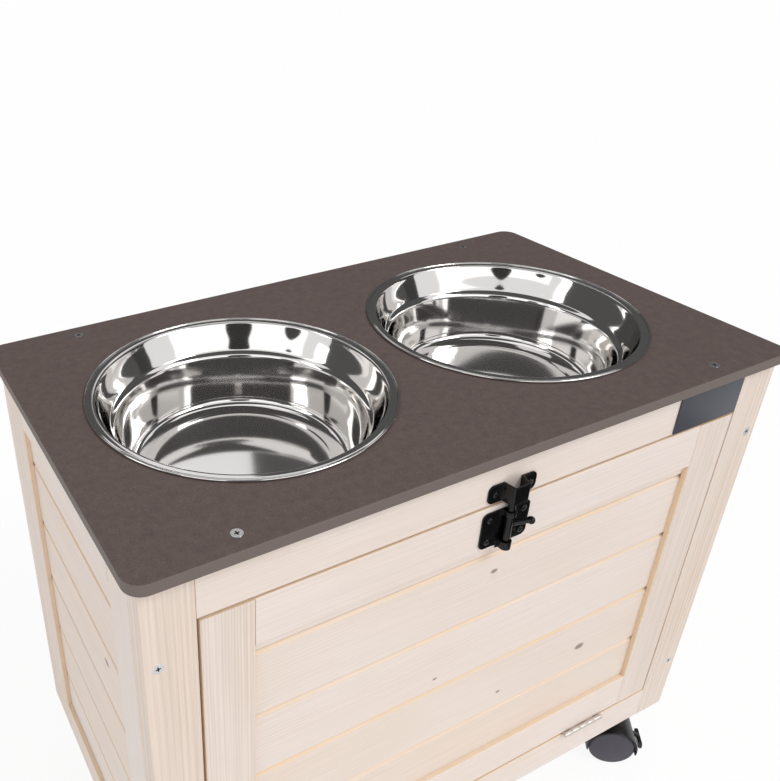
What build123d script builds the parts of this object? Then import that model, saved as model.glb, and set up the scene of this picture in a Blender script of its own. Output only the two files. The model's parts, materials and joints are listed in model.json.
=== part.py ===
from build123d import *
import os
from math import atan2, cos, degrees, radians, sin, sqrt

# Elevated dog feeder: a framed timber cabinet on four twin-wheel casters, with a
# drop-down front flap, under a board that carries two lift-out steel bowls.
# Millimetres. X runs to the right, Y to the back, Z up. The floor is Z = 0 and the
# cabinet stands centred over the origin.

# --- Top board ---
board_length = 600.0
board_depth = 340.0
board_thickness = 9.0
board_corner_radius = 14.0
board_edge_round = 0.8
board_overhang = 7.0

# --- Bowls ---
bowl_pitch = 274.0            # centre to centre
bowl_rim_radius = 125.0
bowl_mouth_radius = 116.5     # where the flange turns down into the wall
bowl_shoulder_radius = 106.0  # foot of the upper wall, above the stacking step
bowl_waist_radius = 102.5     # below the stacking step
bowl_heel_radius = 95.0       # foot of the lower wall
bowl_step_depth = 22.0
bowl_step_height = 3.5
bowl_depth = 72.0
bowl_heel_bend = 14.0
bowl_flange_rise = 1.2
bowl_bead_radius = 1.0
bowl_wall = 0.8
bowl_hole_clearance = 1.5
bowl_seat_gap = 0.3

# --- Cabinet frame ---
cabinet_height = 429.0
timber_thickness = 18.0
timber_arris = 1.0
post_width = 38.0
side_stile_width = 40.0
top_rail_width = 40.6
bottom_rail_width = 38.5
floor_thickness = 12.0

# --- Tongue and groove boards ---
lining_thickness = 9.0
lining_pitch = 66.0
lining_vee = 2.5
lining_gap = 0.5
tongue_length = 5.0
tongue_thickness = 2.6
tongue_clearance = 0.4
frame_groove_depth = 8.0
frame_groove_clearance = 0.1
lining_end_clearance = 1.0
tenon_end_clearance = 0.5
side_first_joint = 79.0       # uppermost vee below the top of the side and back panels

# --- Door ---
door_side_gap = 2.0
door_top_gap = 2.4
door_bottom_gap = 3.0
door_stile_width = 40.0
door_top_rail_width = 42.0
door_bottom_rail_width = 40.5
door_first_joint = 54.6       # uppermost vee below the top edge of the door
stop_length = 240.0
stop_width = 20.0
stop_thickness = 12.0
stop_lap = 8.0

# --- Hinges ---
hinge_pitch = 327.0
hinge_length = 50.0
hinge_knuckles = 5
hinge_knuckle_radius = 2.5
hinge_knuckle_gap = 0.2
hinge_leaf_thickness = 1.2
hinge_leaf_depth = 15.0
hinge_pin_radius = 1.05
hinge_pin_clearance = 0.05
hinge_pin_head_radius = 1.7
hinge_pin_head_height = 0.8
hinge_face_clearance = 0.2
hinge_screw_spread = 34.0
hinge_screw_head_radius = 2.4
hinge_screw_shank_radius = 1.2
hinge_screw_length = 12.0

# --- Barrel bolt ---
latch_width = 46.0
latch_sheet = 1.3
latch_corner_radius = 5.0
latch_plate_height = 33.5
latch_screw_edge = 6.5
latch_plate_drop = 4.5        # top edge of the door to top edge of the plate
bolt_radius = 3.0
bolt_length = 45.0
bolt_chamfer = 0.7
bolt_plate_clearance = 0.2
bolt_keeper_clearance = 1.2   # end of the withdrawn bolt below the keeper
strap_width = 4.5
strap_lower_width = 7.0
strap_inset = 0.5
strap_clearance = 0.3
strap_lower_drop = 2.5         # the lower strap hangs below the plate
strap_foot = 2.5
keeper_height = 16.4
keeper_rise = 2.1             # bottom edge of the rail to bottom edge of the keeper
keeper_shift = 1.3            # to the right of the bolt's axis
keeper_loop_width = 15.0
keeper_loop_depth = 11.0
keeper_splay = 2.0            # each wall of the loop leans out this far at its foot
keeper_bend = 1.2
knob_height = 23.7            # above the lower end of the bolt
knob_reach = 18.4
knob_ball_radius = 3.2
knob_arm_radius = 2.0
knob_spigot_radius = 1.4
knob_spigot_clearance = 0.05
knob_spigot_depth = 2.2
knob_shoulder_gap = 0.05
knob_lean = 15.0              # degrees out from the door's face

# --- Name plate, bare ---
name_plate_width = 76.0
name_plate_height = 39.0
name_plate_thickness = 1.2
name_plate_corner_radius = 1.0
name_plate_side_gap = 3.0     # to the right-hand post

# --- Screws ---
screw_head_radius = 4.3
screw_shank_radius = 1.9
screw_fit = 0.05
board_screw_length = 32.0
board_screw_inset = 78.6      # from the board's end
post_screw_length = 45.0
post_screw_edge = 10.0        # from the cabinet's side
post_screw_top = 70.5         # below the cabinet's top
post_screw_bottom = 69.0      # above the cabinet's bottom
pan_head_radius = 2.8
pan_head_height = 1.3
pan_shank_radius = 1.4
pan_length = 13.0

# --- Casters ---
caster_height = 60.0
caster_wheel_radius = 23.5
caster_trail = 21.2           # swivel axis to axle
caster_side_inset = 71.0      # swivel axis from the cabinet's side
caster_front_inset = 26.0     # swivel axis from the cabinet's front or back
caster_rest_turn = -36.87     # degrees, the way all four trail at rest
caster_plate_size = 42.0
caster_plate_thickness = 2.0
caster_plate_corner_radius = 3.0
caster_screw_pitch = 30.0
caster_screw_shank_radius = 1.9
caster_screw_head_radius = 3.4
caster_screw_head_height = 1.8
caster_screw_length = 11.0
race_radius = 13.0
race_height = 0.8
swivel_pin_radius = 4.0
swivel_pin_length = 25.0
swivel_clearance = 0.05
swivel_gap = 0.3
hood_half_width = 21.2
hood_radius = 26.0
hood_wheel_gap = 1.0
hood_skirt_drop = 4.5         # lower edge of the hood below the axle
hood_web_half = 2.6
hood_neck_half = 11.0
hood_neck_radius = 12.0
hood_neck_lip = 2.0
hood_boss_radius = 6.8
hood_edge_round = 1.0
axle_boss_radius = 6.5
axle_boss_half = 7.0
axle_radius = 3.0
axle_fit = 0.02
axle_clearance = 0.05
axle_end_gap = 0.3
wheel_inner_face = 7.6
wheel_outer_face = 20.0
wheel_dome = 1.4
wheel_rim_round = 2.2
wheel_rim_thickness = 4.0
wheel_web_thickness = 4.0
wheel_cap_thickness = 1.8
wheel_hub_radius = 6.5
wheel_inner_chamfer = 0.8
lever_pivot_angle = 30.0
lever_pivot_radius = 19.0
lever_hub_radius = 3.0
lever_half = 2.3
lever_cheek_radius = 4.6
lever_cheek_half = 6.6
lever_trunnion_radius = 1.5
lever_trunnion_half = 5.8
lever_pocket_clearance = 0.5
lever_side_clearance = 0.3
lever_arm_thickness = 3.0
lever_slot_width = 6.2
lever_travel = 10.0           # degrees, pressed down
lever_pedal_half = 9.5
lever_pedal_root_angle = 5.0
lever_pedal_tip_angle = -11.0
lever_pedal_root_gap = 3.0    # from the hood's surface
lever_pedal_tip_gap = 4.6
lever_pedal_thickness = 4.2

# --- Positions that follow ---
cabinet_length = board_length - 2 * board_overhang
cabinet_depth = board_depth - 2 * board_overhang
cabinet_bottom = caster_height
cabinet_top = cabinet_bottom + cabinet_height
board_top = cabinet_top + board_thickness
half_length = cabinet_length / 2
half_depth = cabinet_depth / 2
half_timber = timber_thickness / 2
inner_half_length = half_length - timber_thickness
inner_half_depth = half_depth - timber_thickness

door_width = cabinet_length - 2 * post_width - 2 * door_side_gap
door_bottom = cabinet_bottom + bottom_rail_width + door_bottom_gap
door_top = cabinet_top - top_rail_width - door_top_gap
door_height = door_top - door_bottom

front = Plane((0, -half_depth, 0), x_dir=(1, 0, 0), z_dir=(0, -1, 0))
back = Plane((0, half_depth, 0), x_dir=(-1, 0, 0), z_dir=(0, 1, 0))
top = Plane.XY.offset(board_top)

os.makedirs("parts", exist_ok=True)


def keep(piece, name):
    """Label a finished piece and write its file."""
    piece.part.label = name
    export_step(piece.part, f"parts/{name}.step")


def seats(plane, points):
    """One plane on each of the points given in a plane's own x and y."""
    return [
        Plane(plane.from_local_coords((x, y, 0)), x_dir=plane.x_dir, z_dir=plane.z_dir)
        for x, y in points
    ]


def copies(form, places):
    """The same form set on each place, as separate solids of one piece."""
    with BuildPart() as group:
        with Locations(*places):
            add(form.part)
    return group


# ---------------------------------------------------------------- screws
def countersunk_screw(head_radius, shank_radius, length):
    """Flat-headed wood screw, its head flush with the XY plane."""
    head_height = head_radius - shank_radius
    point = 2 * shank_radius
    with BuildPart() as screw:
        with BuildSketch(Plane.XZ):
            with BuildLine():
                Polyline(
                    (0, 0),
                    (head_radius, 0),
                    (shank_radius, -head_height),
                    (shank_radius, point - length),
                    (0, -length),
                    close=True,
                )
            make_face()
        revolve(axis=Axis.Z)
    return screw


def pan_screw(head_radius, head_height, shank_radius, length):
    """Round-headed screw, its head standing on the XY plane."""
    with BuildPart() as screw:
        with BuildSketch(Plane.XZ):
            with BuildLine():
                ThreePointArc(
                    (0, head_height),
                    (head_radius * 0.7, head_height * 0.75),
                    (head_radius, 0),
                )
                Polyline(
                    (head_radius, 0),
                    (shank_radius, 0),
                    (shank_radius, -length),
                    (0, -length),
                    (0, head_height),
                )
            make_face()
        revolve(axis=Axis.Z)
    return screw


board_screw_y = half_depth - half_timber
board_screw_x = board_length / 2 - board_screw_inset
board_screw_points = [(x, y) for x in (-board_screw_x, board_screw_x)
                      for y in (-board_screw_y, board_screw_y)]
post_screw_x = half_length - post_screw_edge
post_screw_heights = (cabinet_bottom + post_screw_bottom, cabinet_top - post_screw_top)
post_screw_points = [(x, z) for x in (-post_screw_x, post_screw_x)
                     for z in post_screw_heights]
post_screw_seats = seats(front, post_screw_points) + seats(back, post_screw_points)
pilot_radius = screw_shank_radius + screw_fit
sink_radius = screw_head_radius + screw_fit

board_screw = countersunk_screw(screw_head_radius, screw_shank_radius, board_screw_length)
post_screw = countersunk_screw(screw_head_radius, screw_shank_radius, post_screw_length)
board_screws = copies(board_screw, seats(top, board_screw_points))
post_screws = copies(post_screw, post_screw_seats)
with BuildPart() as body_screws:
    add(board_screws.part)
    add(post_screws.part)
keep(body_screws, "body_screws")


# ---------------------------------------------------------------- top board and bowls
bowl_hole_radius = bowl_mouth_radius + bowl_hole_clearance
bowl_centres = {"left": -bowl_pitch / 2, "right": bowl_pitch / 2}

with BuildPart() as top_board:
    with BuildSketch(Plane.XY.offset(cabinet_top)):
        RectangleRounded(board_length, board_depth, board_corner_radius)
    extrude(amount=board_thickness)
    fillet(top_board.faces().sort_by(Axis.Z)[-1].edges(), board_edge_round)
    with BuildSketch(Plane.XY.offset(cabinet_top)):
        with Locations(*[(x, 0) for x in bowl_centres.values()]):
            Circle(bowl_hole_radius)
    extrude(amount=board_thickness, mode=Mode.SUBTRACT)
    with Locations(*seats(top, board_screw_points)):
        CounterSinkHole(pilot_radius, sink_radius, depth=board_thickness, counter_sink_angle=90)
keep(top_board, "top_board")


def bowl(centre_x):
    """Pressed steel bowl: beaded flange, sloping wall with a stacking step, flat base."""
    rim_under = bowl_seat_gap + bowl_bead_radius
    flange_z = bowl_flange_rise + bowl_seat_gap
    step_foot = bowl_step_depth + bowl_step_height
    with BuildPart() as pressed:
        with BuildSketch(Plane.XZ):
            with BuildLine():
                FilletPolyline(
                    (0, -bowl_depth),
                    (bowl_heel_radius - 2, -bowl_depth),
                    (bowl_waist_radius, -step_foot),
                    (bowl_shoulder_radius, -bowl_step_depth),
                    (bowl_mouth_radius, flange_z),
                    (bowl_rim_radius - bowl_bead_radius, flange_z),
                    radius=[bowl_heel_bend, 2.0, 2.0, 3.0],
                )
                offset(amount=bowl_wall, side=Side.RIGHT)
            make_face()
            with Locations((bowl_rim_radius - bowl_bead_radius, rim_under)):
                Circle(bowl_bead_radius)
        revolve(axis=Axis.Z)
    return copies(pressed, [Plane((centre_x, 0, board_top))])


for side, centre_x in bowl_centres.items():
    keep(bowl(centre_x), f"bowl_{side}")


# ---------------------------------------------------------------- timber
panel_groove = lining_thickness + 2 * frame_groove_clearance


def bar(plane, width, length, grooved=False, tenons=False):
    """Eased timber running along the plane's normal from its origin, at mid section.

    The plane's x points to the edge that holds the boards' groove.
    """
    tenon = frame_groove_depth - tenon_end_clearance
    with BuildPart() as timber:
        with BuildSketch(plane):
            RectangleRounded(width, timber_thickness, timber_arris)
            if grooved:
                with Locations(((width - frame_groove_depth) / 2, 0)):
                    Rectangle(frame_groove_depth, panel_groove, mode=Mode.SUBTRACT)
        extrude(amount=length)
        if tenons:
            with BuildSketch(plane.offset(-tenon)):
                with Locations((-frame_groove_depth / 2, 0)):
                    Rectangle(width - frame_groove_depth, lining_thickness)
            extrude(amount=length + 2 * tenon)
    return timber


def drilled(piece, places, radius, depth):
    """The piece with a screw's pilot hole sunk at each place."""
    with BuildPart() as timber:
        add(piece.part)
        with Locations(*places):
            Hole(radius, depth)
    return timber


def sunk(piece, places, depth):
    """The piece with a countersunk through hole at each place."""
    with BuildPart() as timber:
        add(piece.part)
        with Locations(*places):
            CounterSinkHole(pilot_radius, sink_radius, depth=depth, counter_sink_angle=90)
    return timber


def lining(panel, start, length, low, high, first_joint):
    """Tongue and groove boards lying across a panel, between two heights."""
    joints = []
    height = first_joint
    while height > low + lining_pitch / 4:
        joints.append(height)
        height -= lining_pitch
    edges = [high] + joints + [low]
    section = Plane(panel.from_local_coords((start, 0, 0)), x_dir=panel.y_dir, z_dir=panel.x_dir)
    groove_length = tongue_length + tongue_clearance
    groove_width = tongue_thickness + tongue_clearance
    with BuildPart() as boards:
        for index, (upper, lower) in enumerate(zip(edges, edges[1:])):
            meets_above = index > 0
            meets_below = index < len(edges) - 2
            board_high = upper - lining_gap / 2 if meets_above else upper
            board_low = lower + lining_gap / 2 if meets_below else lower
            with BuildSketch(section) as profile:
                with Locations(((board_high + board_low) / 2, 0)):
                    Rectangle(board_high - board_low, lining_thickness)
                if meets_above:
                    chamfer(profile.vertices().group_by(Axis.X)[-1], lining_vee)
                if meets_below:
                    chamfer(profile.vertices().group_by(Axis.X)[0], lining_vee)
                    with Locations((board_low + groove_length / 2, 0)):
                        Rectangle(groove_length, groove_width, mode=Mode.SUBTRACT)
                if meets_above:
                    with Locations((board_high + tongue_length / 2, 0)):
                        Rectangle(tongue_length, tongue_thickness)
            extrude(amount=length)
    return boards


def framed_panel(panel, width, height, stile, top_rail, bottom_rail, first_joint):
    """Stiles, rails and boards of one framed panel.

    The panel's plane lies at mid thickness on its lower left corner, seen from outside.
    """
    def at(x, y):
        return panel.from_local_coords((x, y, 0))

    across, up = panel.x_dir, panel.y_dir
    rail_length = width - 2 * stile
    tuck = frame_groove_depth - lining_end_clearance
    near_stile = Plane(at(stile / 2, 0), x_dir=across, z_dir=up)
    far_stile = Plane(at(width - stile / 2, 0), x_dir=-across, z_dir=up)
    upper_rail = Plane(at(stile, height - top_rail / 2), x_dir=-up, z_dir=across)
    lower_rail = Plane(at(stile, bottom_rail / 2), x_dir=up, z_dir=across)
    return {
        "near": bar(near_stile, stile, height, grooved=True),
        "far": bar(far_stile, stile, height, grooved=True),
        "top": bar(upper_rail, top_rail, rail_length, grooved=True, tenons=True),
        "bottom": bar(lower_rail, bottom_rail, rail_length, grooved=True, tenons=True),
        "boards": lining(
            panel, stile - tuck, rail_length + 2 * tuck,
            bottom_rail - tuck, height - top_rail + tuck, height - first_joint,
        ),
    }


# ---------------------------------------------------------------- where the fittings go
def door_level(drop):
    """Height of a line that lies a given drop below the door's top edge."""
    return door_top - drop


keeper_bottom = cabinet_top - top_rail_width + keeper_rise
keeper_z = keeper_bottom + keeper_height / 2
latch_plate_top = door_level(latch_plate_drop)
latch_plate_bottom = latch_plate_top - latch_plate_height
latch_plate_z = (latch_plate_top + latch_plate_bottom) / 2
latch_screw_x = latch_width / 2 - latch_screw_edge
keeper_screw_points = [(keeper_shift + x, keeper_z) for x in (-latch_screw_x, latch_screw_x)]
plate_screw_points = [
    (x, z)
    for x in (-latch_screw_x, latch_screw_x)
    for z in (latch_plate_top - latch_screw_edge, latch_plate_bottom + latch_screw_edge)
]
pan_pilot = pan_shank_radius + screw_fit

hinge_centres = (-hinge_pitch / 2, hinge_pitch / 2)
hinge_screw_points = [
    (x + shift, hinge_leaf_depth / 2 - half_depth)
    for x in hinge_centres
    for shift in (-hinge_screw_spread / 2, hinge_screw_spread / 2)
]
hinge_pilot = hinge_screw_shank_radius + screw_fit
rail_edge = Plane.XY.offset(cabinet_bottom + bottom_rail_width)
door_edge = Plane((0, 0, door_bottom), x_dir=(1, 0, 0), z_dir=(0, 0, -1))
door_edge_points = [(x, -y) for x, y in hinge_screw_points]

caster_x = half_length - caster_side_inset
caster_y = half_depth - caster_front_inset
caster_places = {
    "front_left": (-caster_x, -caster_y),
    "front_right": (caster_x, -caster_y),
    "back_left": (-caster_x, caster_y),
    "back_right": (caster_x, caster_y),
}
caster_screw_pilot = caster_screw_shank_radius + screw_fit
underside = Plane((0, 0, cabinet_bottom), x_dir=(1, 0, 0), z_dir=(0, 0, -1))
caster_screw_points = [
    (x + dx, -y + dy)
    for x, y in caster_places.values()
    for dx in (-caster_screw_pitch / 2, caster_screw_pitch / 2)
    for dy in (-caster_screw_pitch / 2, caster_screw_pitch / 2)
]
caster_pilot_depth = caster_screw_length - caster_plate_thickness


# ---------------------------------------------------------------- cabinet
rail_length = cabinet_length - 2 * post_width
front_mid = half_timber - half_depth
under_board = Plane.XY.offset(cabinet_top)
board_pilot_depth = board_screw_length - board_thickness
front_board_pilots = seats(under_board, [(x, y) for x, y in board_screw_points if y < 0])
back_board_pilots = seats(under_board, [(x, y) for x, y in board_screw_points if y > 0])
caster_pilots = seats(underside, caster_screw_points)

for side, sign in (("left", -1), ("right", 1)):
    foot = (sign * (half_length - post_width / 2), front_mid, cabinet_bottom)
    post = bar(Plane(foot), post_width, cabinet_height)
    screwed = seats(front, [(sign * post_screw_x, z) for z in post_screw_heights])
    keep(sunk(post, screwed, timber_thickness), f"front_{side}_post")

with BuildPart() as front_top_rail:
    middle = (-rail_length / 2, front_mid, cabinet_top - top_rail_width / 2)
    add(bar(Plane(middle, x_dir=(0, 0, -1), z_dir=(1, 0, 0)), top_rail_width, rail_length).part)
    with Locations(*front_board_pilots):
        Hole(pilot_radius, board_pilot_depth)
    with Locations(*seats(front, keeper_screw_points)):
        Hole(pan_pilot, pan_length - latch_sheet)
keep(front_top_rail, "front_top_rail")

with BuildPart() as front_bottom_rail:
    middle = (-rail_length / 2, front_mid, cabinet_bottom + bottom_rail_width / 2)
    add(bar(Plane(middle, x_dir=(0, 0, 1), z_dir=(1, 0, 0)), bottom_rail_width, rail_length).part)
    with Locations(*seats(rail_edge, hinge_screw_points)):
        Hole(hinge_pilot, hinge_screw_length)
    with Locations(*caster_pilots):
        Hole(caster_screw_pilot, caster_pilot_depth)
keep(front_bottom_rail, "front_bottom_rail")

# The back is framed and boarded like the sides, between full-height posts.
back_panel = framed_panel(
    Plane((half_length, half_depth - half_timber, cabinet_bottom),
          x_dir=(-1, 0, 0), z_dir=(0, 1, 0)),
    cabinet_length, cabinet_height, post_width, top_rail_width, bottom_rail_width,
    side_first_joint,
)
for side, sign, key in (("left", 1, "far"), ("right", -1, "near")):
    screwed = seats(back, [(sign * post_screw_x, z) for z in post_screw_heights])
    keep(sunk(back_panel[key], screwed, timber_thickness), f"back_{side}_post")
keep(drilled(back_panel["top"], back_board_pilots, pilot_radius, board_pilot_depth),
     "back_top_rail")
keep(drilled(back_panel["bottom"], caster_pilots, caster_screw_pilot, caster_pilot_depth),
     "back_bottom_rail")
keep(back_panel["boards"], "back_boards")

# Each side stands between the front and back posts, which are screwed to its stiles.
side_width = cabinet_depth - 2 * timber_thickness
for side, sign in (("left", -1), ("right", 1)):
    panel = framed_panel(
        Plane((sign * (half_length - half_timber), -sign * inner_half_depth, cabinet_bottom),
              x_dir=(0, sign, 0), z_dir=(sign, 0, 0)),
        side_width, cabinet_height, side_stile_width, top_rail_width, bottom_rail_width,
        side_first_joint,
    )
    front_key, back_key = ("near", "far") if sign > 0 else ("far", "near")
    from_front = seats(front, [(sign * post_screw_x, z) for z in post_screw_heights])
    from_back = seats(back, [(-sign * post_screw_x, z) for z in post_screw_heights])
    keep(drilled(panel[front_key], from_front, pilot_radius, post_screw_length),
         f"{side}_front_stile")
    keep(drilled(panel[back_key], from_back, pilot_radius, post_screw_length),
         f"{side}_back_stile")
    keep(panel["top"], f"{side}_top_rail")
    keep(panel["bottom"], f"{side}_bottom_rail")
    keep(panel["boards"], f"{side}_boards")

with BuildPart() as floor_panel:
    with BuildSketch(Plane.XY.offset(cabinet_bottom)):
        Rectangle(2 * inner_half_length, 2 * inner_half_depth)
    extrude(amount=floor_thickness)
    with Locations(*caster_pilots):
        Hole(caster_screw_pilot, caster_pilot_depth)
keep(floor_panel, "floor_panel")

# A batten behind the top rail laps the door's top edge and stops it in the frame.
with BuildPart() as door_stop:
    with BuildSketch(Plane.YZ.offset(-stop_length / 2)):
        with Locations((stop_thickness / 2 - inner_half_depth,
                        door_level(stop_lap) + stop_width / 2)):
            Rectangle(stop_thickness, stop_width)
    extrude(amount=stop_length)
    chamfer(door_stop.edges().filter_by(Axis.X).group_by(Axis.Y)[-1], timber_arris)
keep(door_stop, "door_stop")

with BuildPart() as name_plate:
    with BuildSketch(front):
        with Locations((half_length - post_width - name_plate_side_gap - name_plate_width / 2,
                        cabinet_top - top_rail_width / 2)):
            RectangleRounded(name_plate_width, name_plate_height, name_plate_corner_radius)
    extrude(amount=name_plate_thickness)
keep(name_plate, "name_plate")


# ---------------------------------------------------------------- door
door = framed_panel(
    Plane((-door_width / 2, front_mid, door_bottom), x_dir=(1, 0, 0), z_dir=(0, -1, 0)),
    door_width, door_height, door_stile_width, door_top_rail_width, door_bottom_rail_width,
    door_first_joint,
)
keep(door["near"], "door_left_stile")
keep(door["far"], "door_right_stile")
keep(drilled(door["top"], seats(front, plate_screw_points), pan_pilot, pan_length - latch_sheet),
     "door_top_rail")
keep(drilled(door["bottom"], seats(door_edge, door_edge_points), hinge_pilot,
             hinge_screw_length),
     "door_bottom_rail")
keep(door["boards"], "door_boards")


# ---------------------------------------------------------------- hinges
hinge_y = -half_depth - hinge_face_clearance - hinge_knuckle_radius
hinge_z = (cabinet_bottom + bottom_rail_width + door_bottom) / 2
knuckle_pitch = hinge_length / hinge_knuckles
pin_bore = hinge_pin_radius + hinge_pin_clearance


def hinge_leaves(leaf_bottom, knuckles, screw_seats):
    """One leaf of each hinge: a flat let against the timber and its share of the barrel."""
    leaf_middle = leaf_bottom + hinge_leaf_thickness / 2
    with BuildPart() as leaves:
        for centre in hinge_centres:
            start = centre - hinge_length / 2
            with BuildSketch(Plane.YZ.offset(start)):
                with Locations((hinge_leaf_depth / 2 - half_depth, leaf_middle)):
                    Rectangle(hinge_leaf_depth, hinge_leaf_thickness)
            extrude(amount=hinge_length)
            for knuckle in knuckles:
                with BuildSketch(Plane.YZ.offset(
                        start + knuckle * knuckle_pitch + hinge_knuckle_gap / 2)):
                    with Locations((hinge_y, hinge_z)):
                        Circle(hinge_knuckle_radius)
                    with Locations(((hinge_y - half_depth) / 2, leaf_middle)):
                        Rectangle(-half_depth - hinge_y, hinge_leaf_thickness)
                    with Locations((hinge_y, hinge_z)):
                        Circle(pin_bore, mode=Mode.SUBTRACT)
                extrude(amount=knuckle_pitch - hinge_knuckle_gap)
        with Locations(*screw_seats):
            CounterSinkHole(hinge_pilot, hinge_screw_head_radius + screw_fit,
                            depth=hinge_leaf_thickness, counter_sink_angle=90)
    return leaves


with BuildPart() as hinge_pins:
    for centre in hinge_centres:
        with BuildSketch(Plane.YZ.offset(centre - hinge_length / 2)):
            with Locations((hinge_y, hinge_z)):
                Circle(hinge_pin_radius)
        extrude(amount=hinge_length)
        for end in (centre - hinge_length / 2 - hinge_pin_head_height, centre + hinge_length / 2):
            with BuildSketch(Plane.YZ.offset(end)):
                with Locations((hinge_y, hinge_z)):
                    Circle(hinge_pin_head_radius)
            extrude(amount=hinge_pin_head_height)

frame_leaf_seats = seats(rail_edge.offset(hinge_leaf_thickness), hinge_screw_points)
door_leaf_seats = seats(door_edge.offset(hinge_leaf_thickness), door_edge_points)
frame_knuckles = range(0, hinge_knuckles, 2)
door_knuckles = range(1, hinge_knuckles, 2)
frame_leaves = hinge_leaves(cabinet_bottom + bottom_rail_width, frame_knuckles, frame_leaf_seats)
with BuildPart() as hinge_frame_halves:
    add(frame_leaves.part)
    add(hinge_pins.part)
keep(hinge_frame_halves, "hinge_frame_halves")
keep(hinge_leaves(door_bottom - hinge_leaf_thickness, door_knuckles, door_leaf_seats),
     "hinge_door_leaves")


# ---------------------------------------------------------------- barrel bolt
bolt_y = -half_depth - latch_sheet - bolt_plate_clearance - bolt_radius
bolt_top = keeper_bottom - bolt_keeper_clearance
bolt_bottom = bolt_top - bolt_length
knob_z = bolt_bottom + knob_height
strap_bore = bolt_radius + strap_clearance
strap_radius = strap_bore + latch_sheet
plate_face = -half_depth - latch_sheet

with BuildPart() as latch_plate:
    with BuildSketch(front):
        with Locations((0, latch_plate_z)):
            RectangleRounded(latch_width, latch_plate_height, latch_corner_radius)
    extrude(amount=latch_sheet)
    for strap_z, width in ((latch_plate_top - strap_inset - strap_width, strap_width),
                           (latch_plate_bottom - strap_lower_drop, strap_lower_width)):
        with BuildSketch(Plane.XY.offset(strap_z)):
            with Locations((0, bolt_y)):
                Circle(strap_radius)
            with Locations((0, plate_face)):
                Rectangle(2 * strap_radius, strap_radius, align=(Align.CENTER, Align.MIN),
                          mode=Mode.SUBTRACT)
            with Locations((0, (bolt_y + plate_face) / 2)):
                Rectangle(2 * strap_radius, plate_face - bolt_y)
                Rectangle(2 * strap_bore, plate_face - bolt_y, mode=Mode.SUBTRACT)
            with Locations((0, bolt_y)):
                Circle(strap_bore, mode=Mode.SUBTRACT)
            with Locations((-strap_radius - strap_foot / 2, plate_face - latch_sheet / 4),
                           (strap_radius + strap_foot / 2, plate_face - latch_sheet / 4)):
                Rectangle(strap_foot, latch_sheet / 2)
        extrude(amount=width)
    with Locations(*seats(front.offset(latch_sheet), plate_screw_points)):
        Hole(pan_pilot, latch_sheet)
keep(latch_plate, "latch_plate")

# The keeper's loop is a splayed channel; its wall is the sheet, cut across at a slant.
keeper_crown = keeper_loop_width / 2
keeper_foot = keeper_crown + keeper_splay
keeper_lean = keeper_splay / keeper_loop_depth
keeper_wall = latch_sheet * sqrt(1 + keeper_lean**2)
keeper_inside = keeper_crown + keeper_lean * latch_sheet - keeper_wall

with BuildPart() as latch_keeper:
    with BuildSketch(Plane.XY.offset(keeper_bottom)) as bent:
        with BuildLine():
            Polyline(
                (keeper_shift - keeper_foot, -half_depth),
                (keeper_shift - keeper_crown, -half_depth - keeper_loop_depth),
                (keeper_shift + keeper_crown, -half_depth - keeper_loop_depth),
                (keeper_shift + keeper_foot, -half_depth),
                close=True,
            )
        make_face()
        with Locations((keeper_shift, -half_depth - latch_sheet / 2)):
            Rectangle(latch_width, latch_sheet)
        fillet(bent.vertices().group_by(Axis.Y)[0], keeper_bend)
        with BuildLine():
            Polyline(
                (keeper_shift - keeper_foot + keeper_wall, -half_depth),
                (keeper_shift - keeper_inside, latch_sheet - half_depth - keeper_loop_depth),
                (keeper_shift + keeper_inside, latch_sheet - half_depth - keeper_loop_depth),
                (keeper_shift + keeper_foot - keeper_wall, -half_depth),
                close=True,
            )
        make_face(mode=Mode.SUBTRACT)
    extrude(amount=keeper_height)
    with BuildSketch(front):
        with Locations((keeper_shift, keeper_z)):
            RectangleRounded(latch_width, keeper_height, latch_corner_radius)
    extrude(amount=keeper_loop_depth, mode=Mode.INTERSECT)
    with Locations(*seats(front.offset(latch_sheet), keeper_screw_points)):
        Hole(pan_pilot, latch_sheet)
keep(latch_keeper, "latch_keeper")

# The knob screws into the bolt and leans out a little from the door.
lean = radians(knob_lean)
knob_axis = Plane((0, bolt_y, knob_z), z_dir=(cos(lean), -sin(lean), 0))
knob_start = bolt_radius - knob_spigot_depth

with BuildPart() as latch_bolt:
    with BuildSketch(Plane.XY.offset(bolt_bottom)):
        with Locations((0, bolt_y)):
            Circle(bolt_radius)
    extrude(amount=bolt_length)
    chamfer(latch_bolt.edges().filter_by(GeomType.CIRCLE), bolt_chamfer)
    with BuildSketch(knob_axis.offset(knob_start - knob_spigot_clearance)):
        Circle(knob_spigot_radius + knob_spigot_clearance)
    extrude(amount=bolt_radius, mode=Mode.SUBTRACT)
keep(latch_bolt, "latch_bolt")

with BuildPart() as latch_knob:
    with BuildSketch(knob_axis.offset(knob_start)):
        Circle(knob_spigot_radius)
    extrude(amount=knob_spigot_depth + knob_shoulder_gap)
    with BuildSketch(knob_axis.offset(bolt_radius + knob_shoulder_gap)):
        Circle(knob_arm_radius)
    extrude(amount=knob_reach - bolt_radius)
    with Locations(knob_axis.offset(knob_reach)):
        Sphere(knob_ball_radius)
keep(latch_knob, "latch_knob")

pan = pan_screw(pan_head_radius, pan_head_height, pan_shank_radius, pan_length)
hinge_screw = countersunk_screw(
    hinge_screw_head_radius, hinge_screw_shank_radius, hinge_screw_length
)
for name, pan_points, leaf_seats in (
    ("cabinet_hardware_screws", keeper_screw_points, frame_leaf_seats),
    ("door_hardware_screws", plate_screw_points, door_leaf_seats),
):
    with BuildPart() as hardware_screws:
        add(copies(pan, seats(front.offset(latch_sheet), pan_points)).part)
        add(copies(hinge_screw, leaf_seats).part)
    keep(hardware_screws, name)


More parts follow.
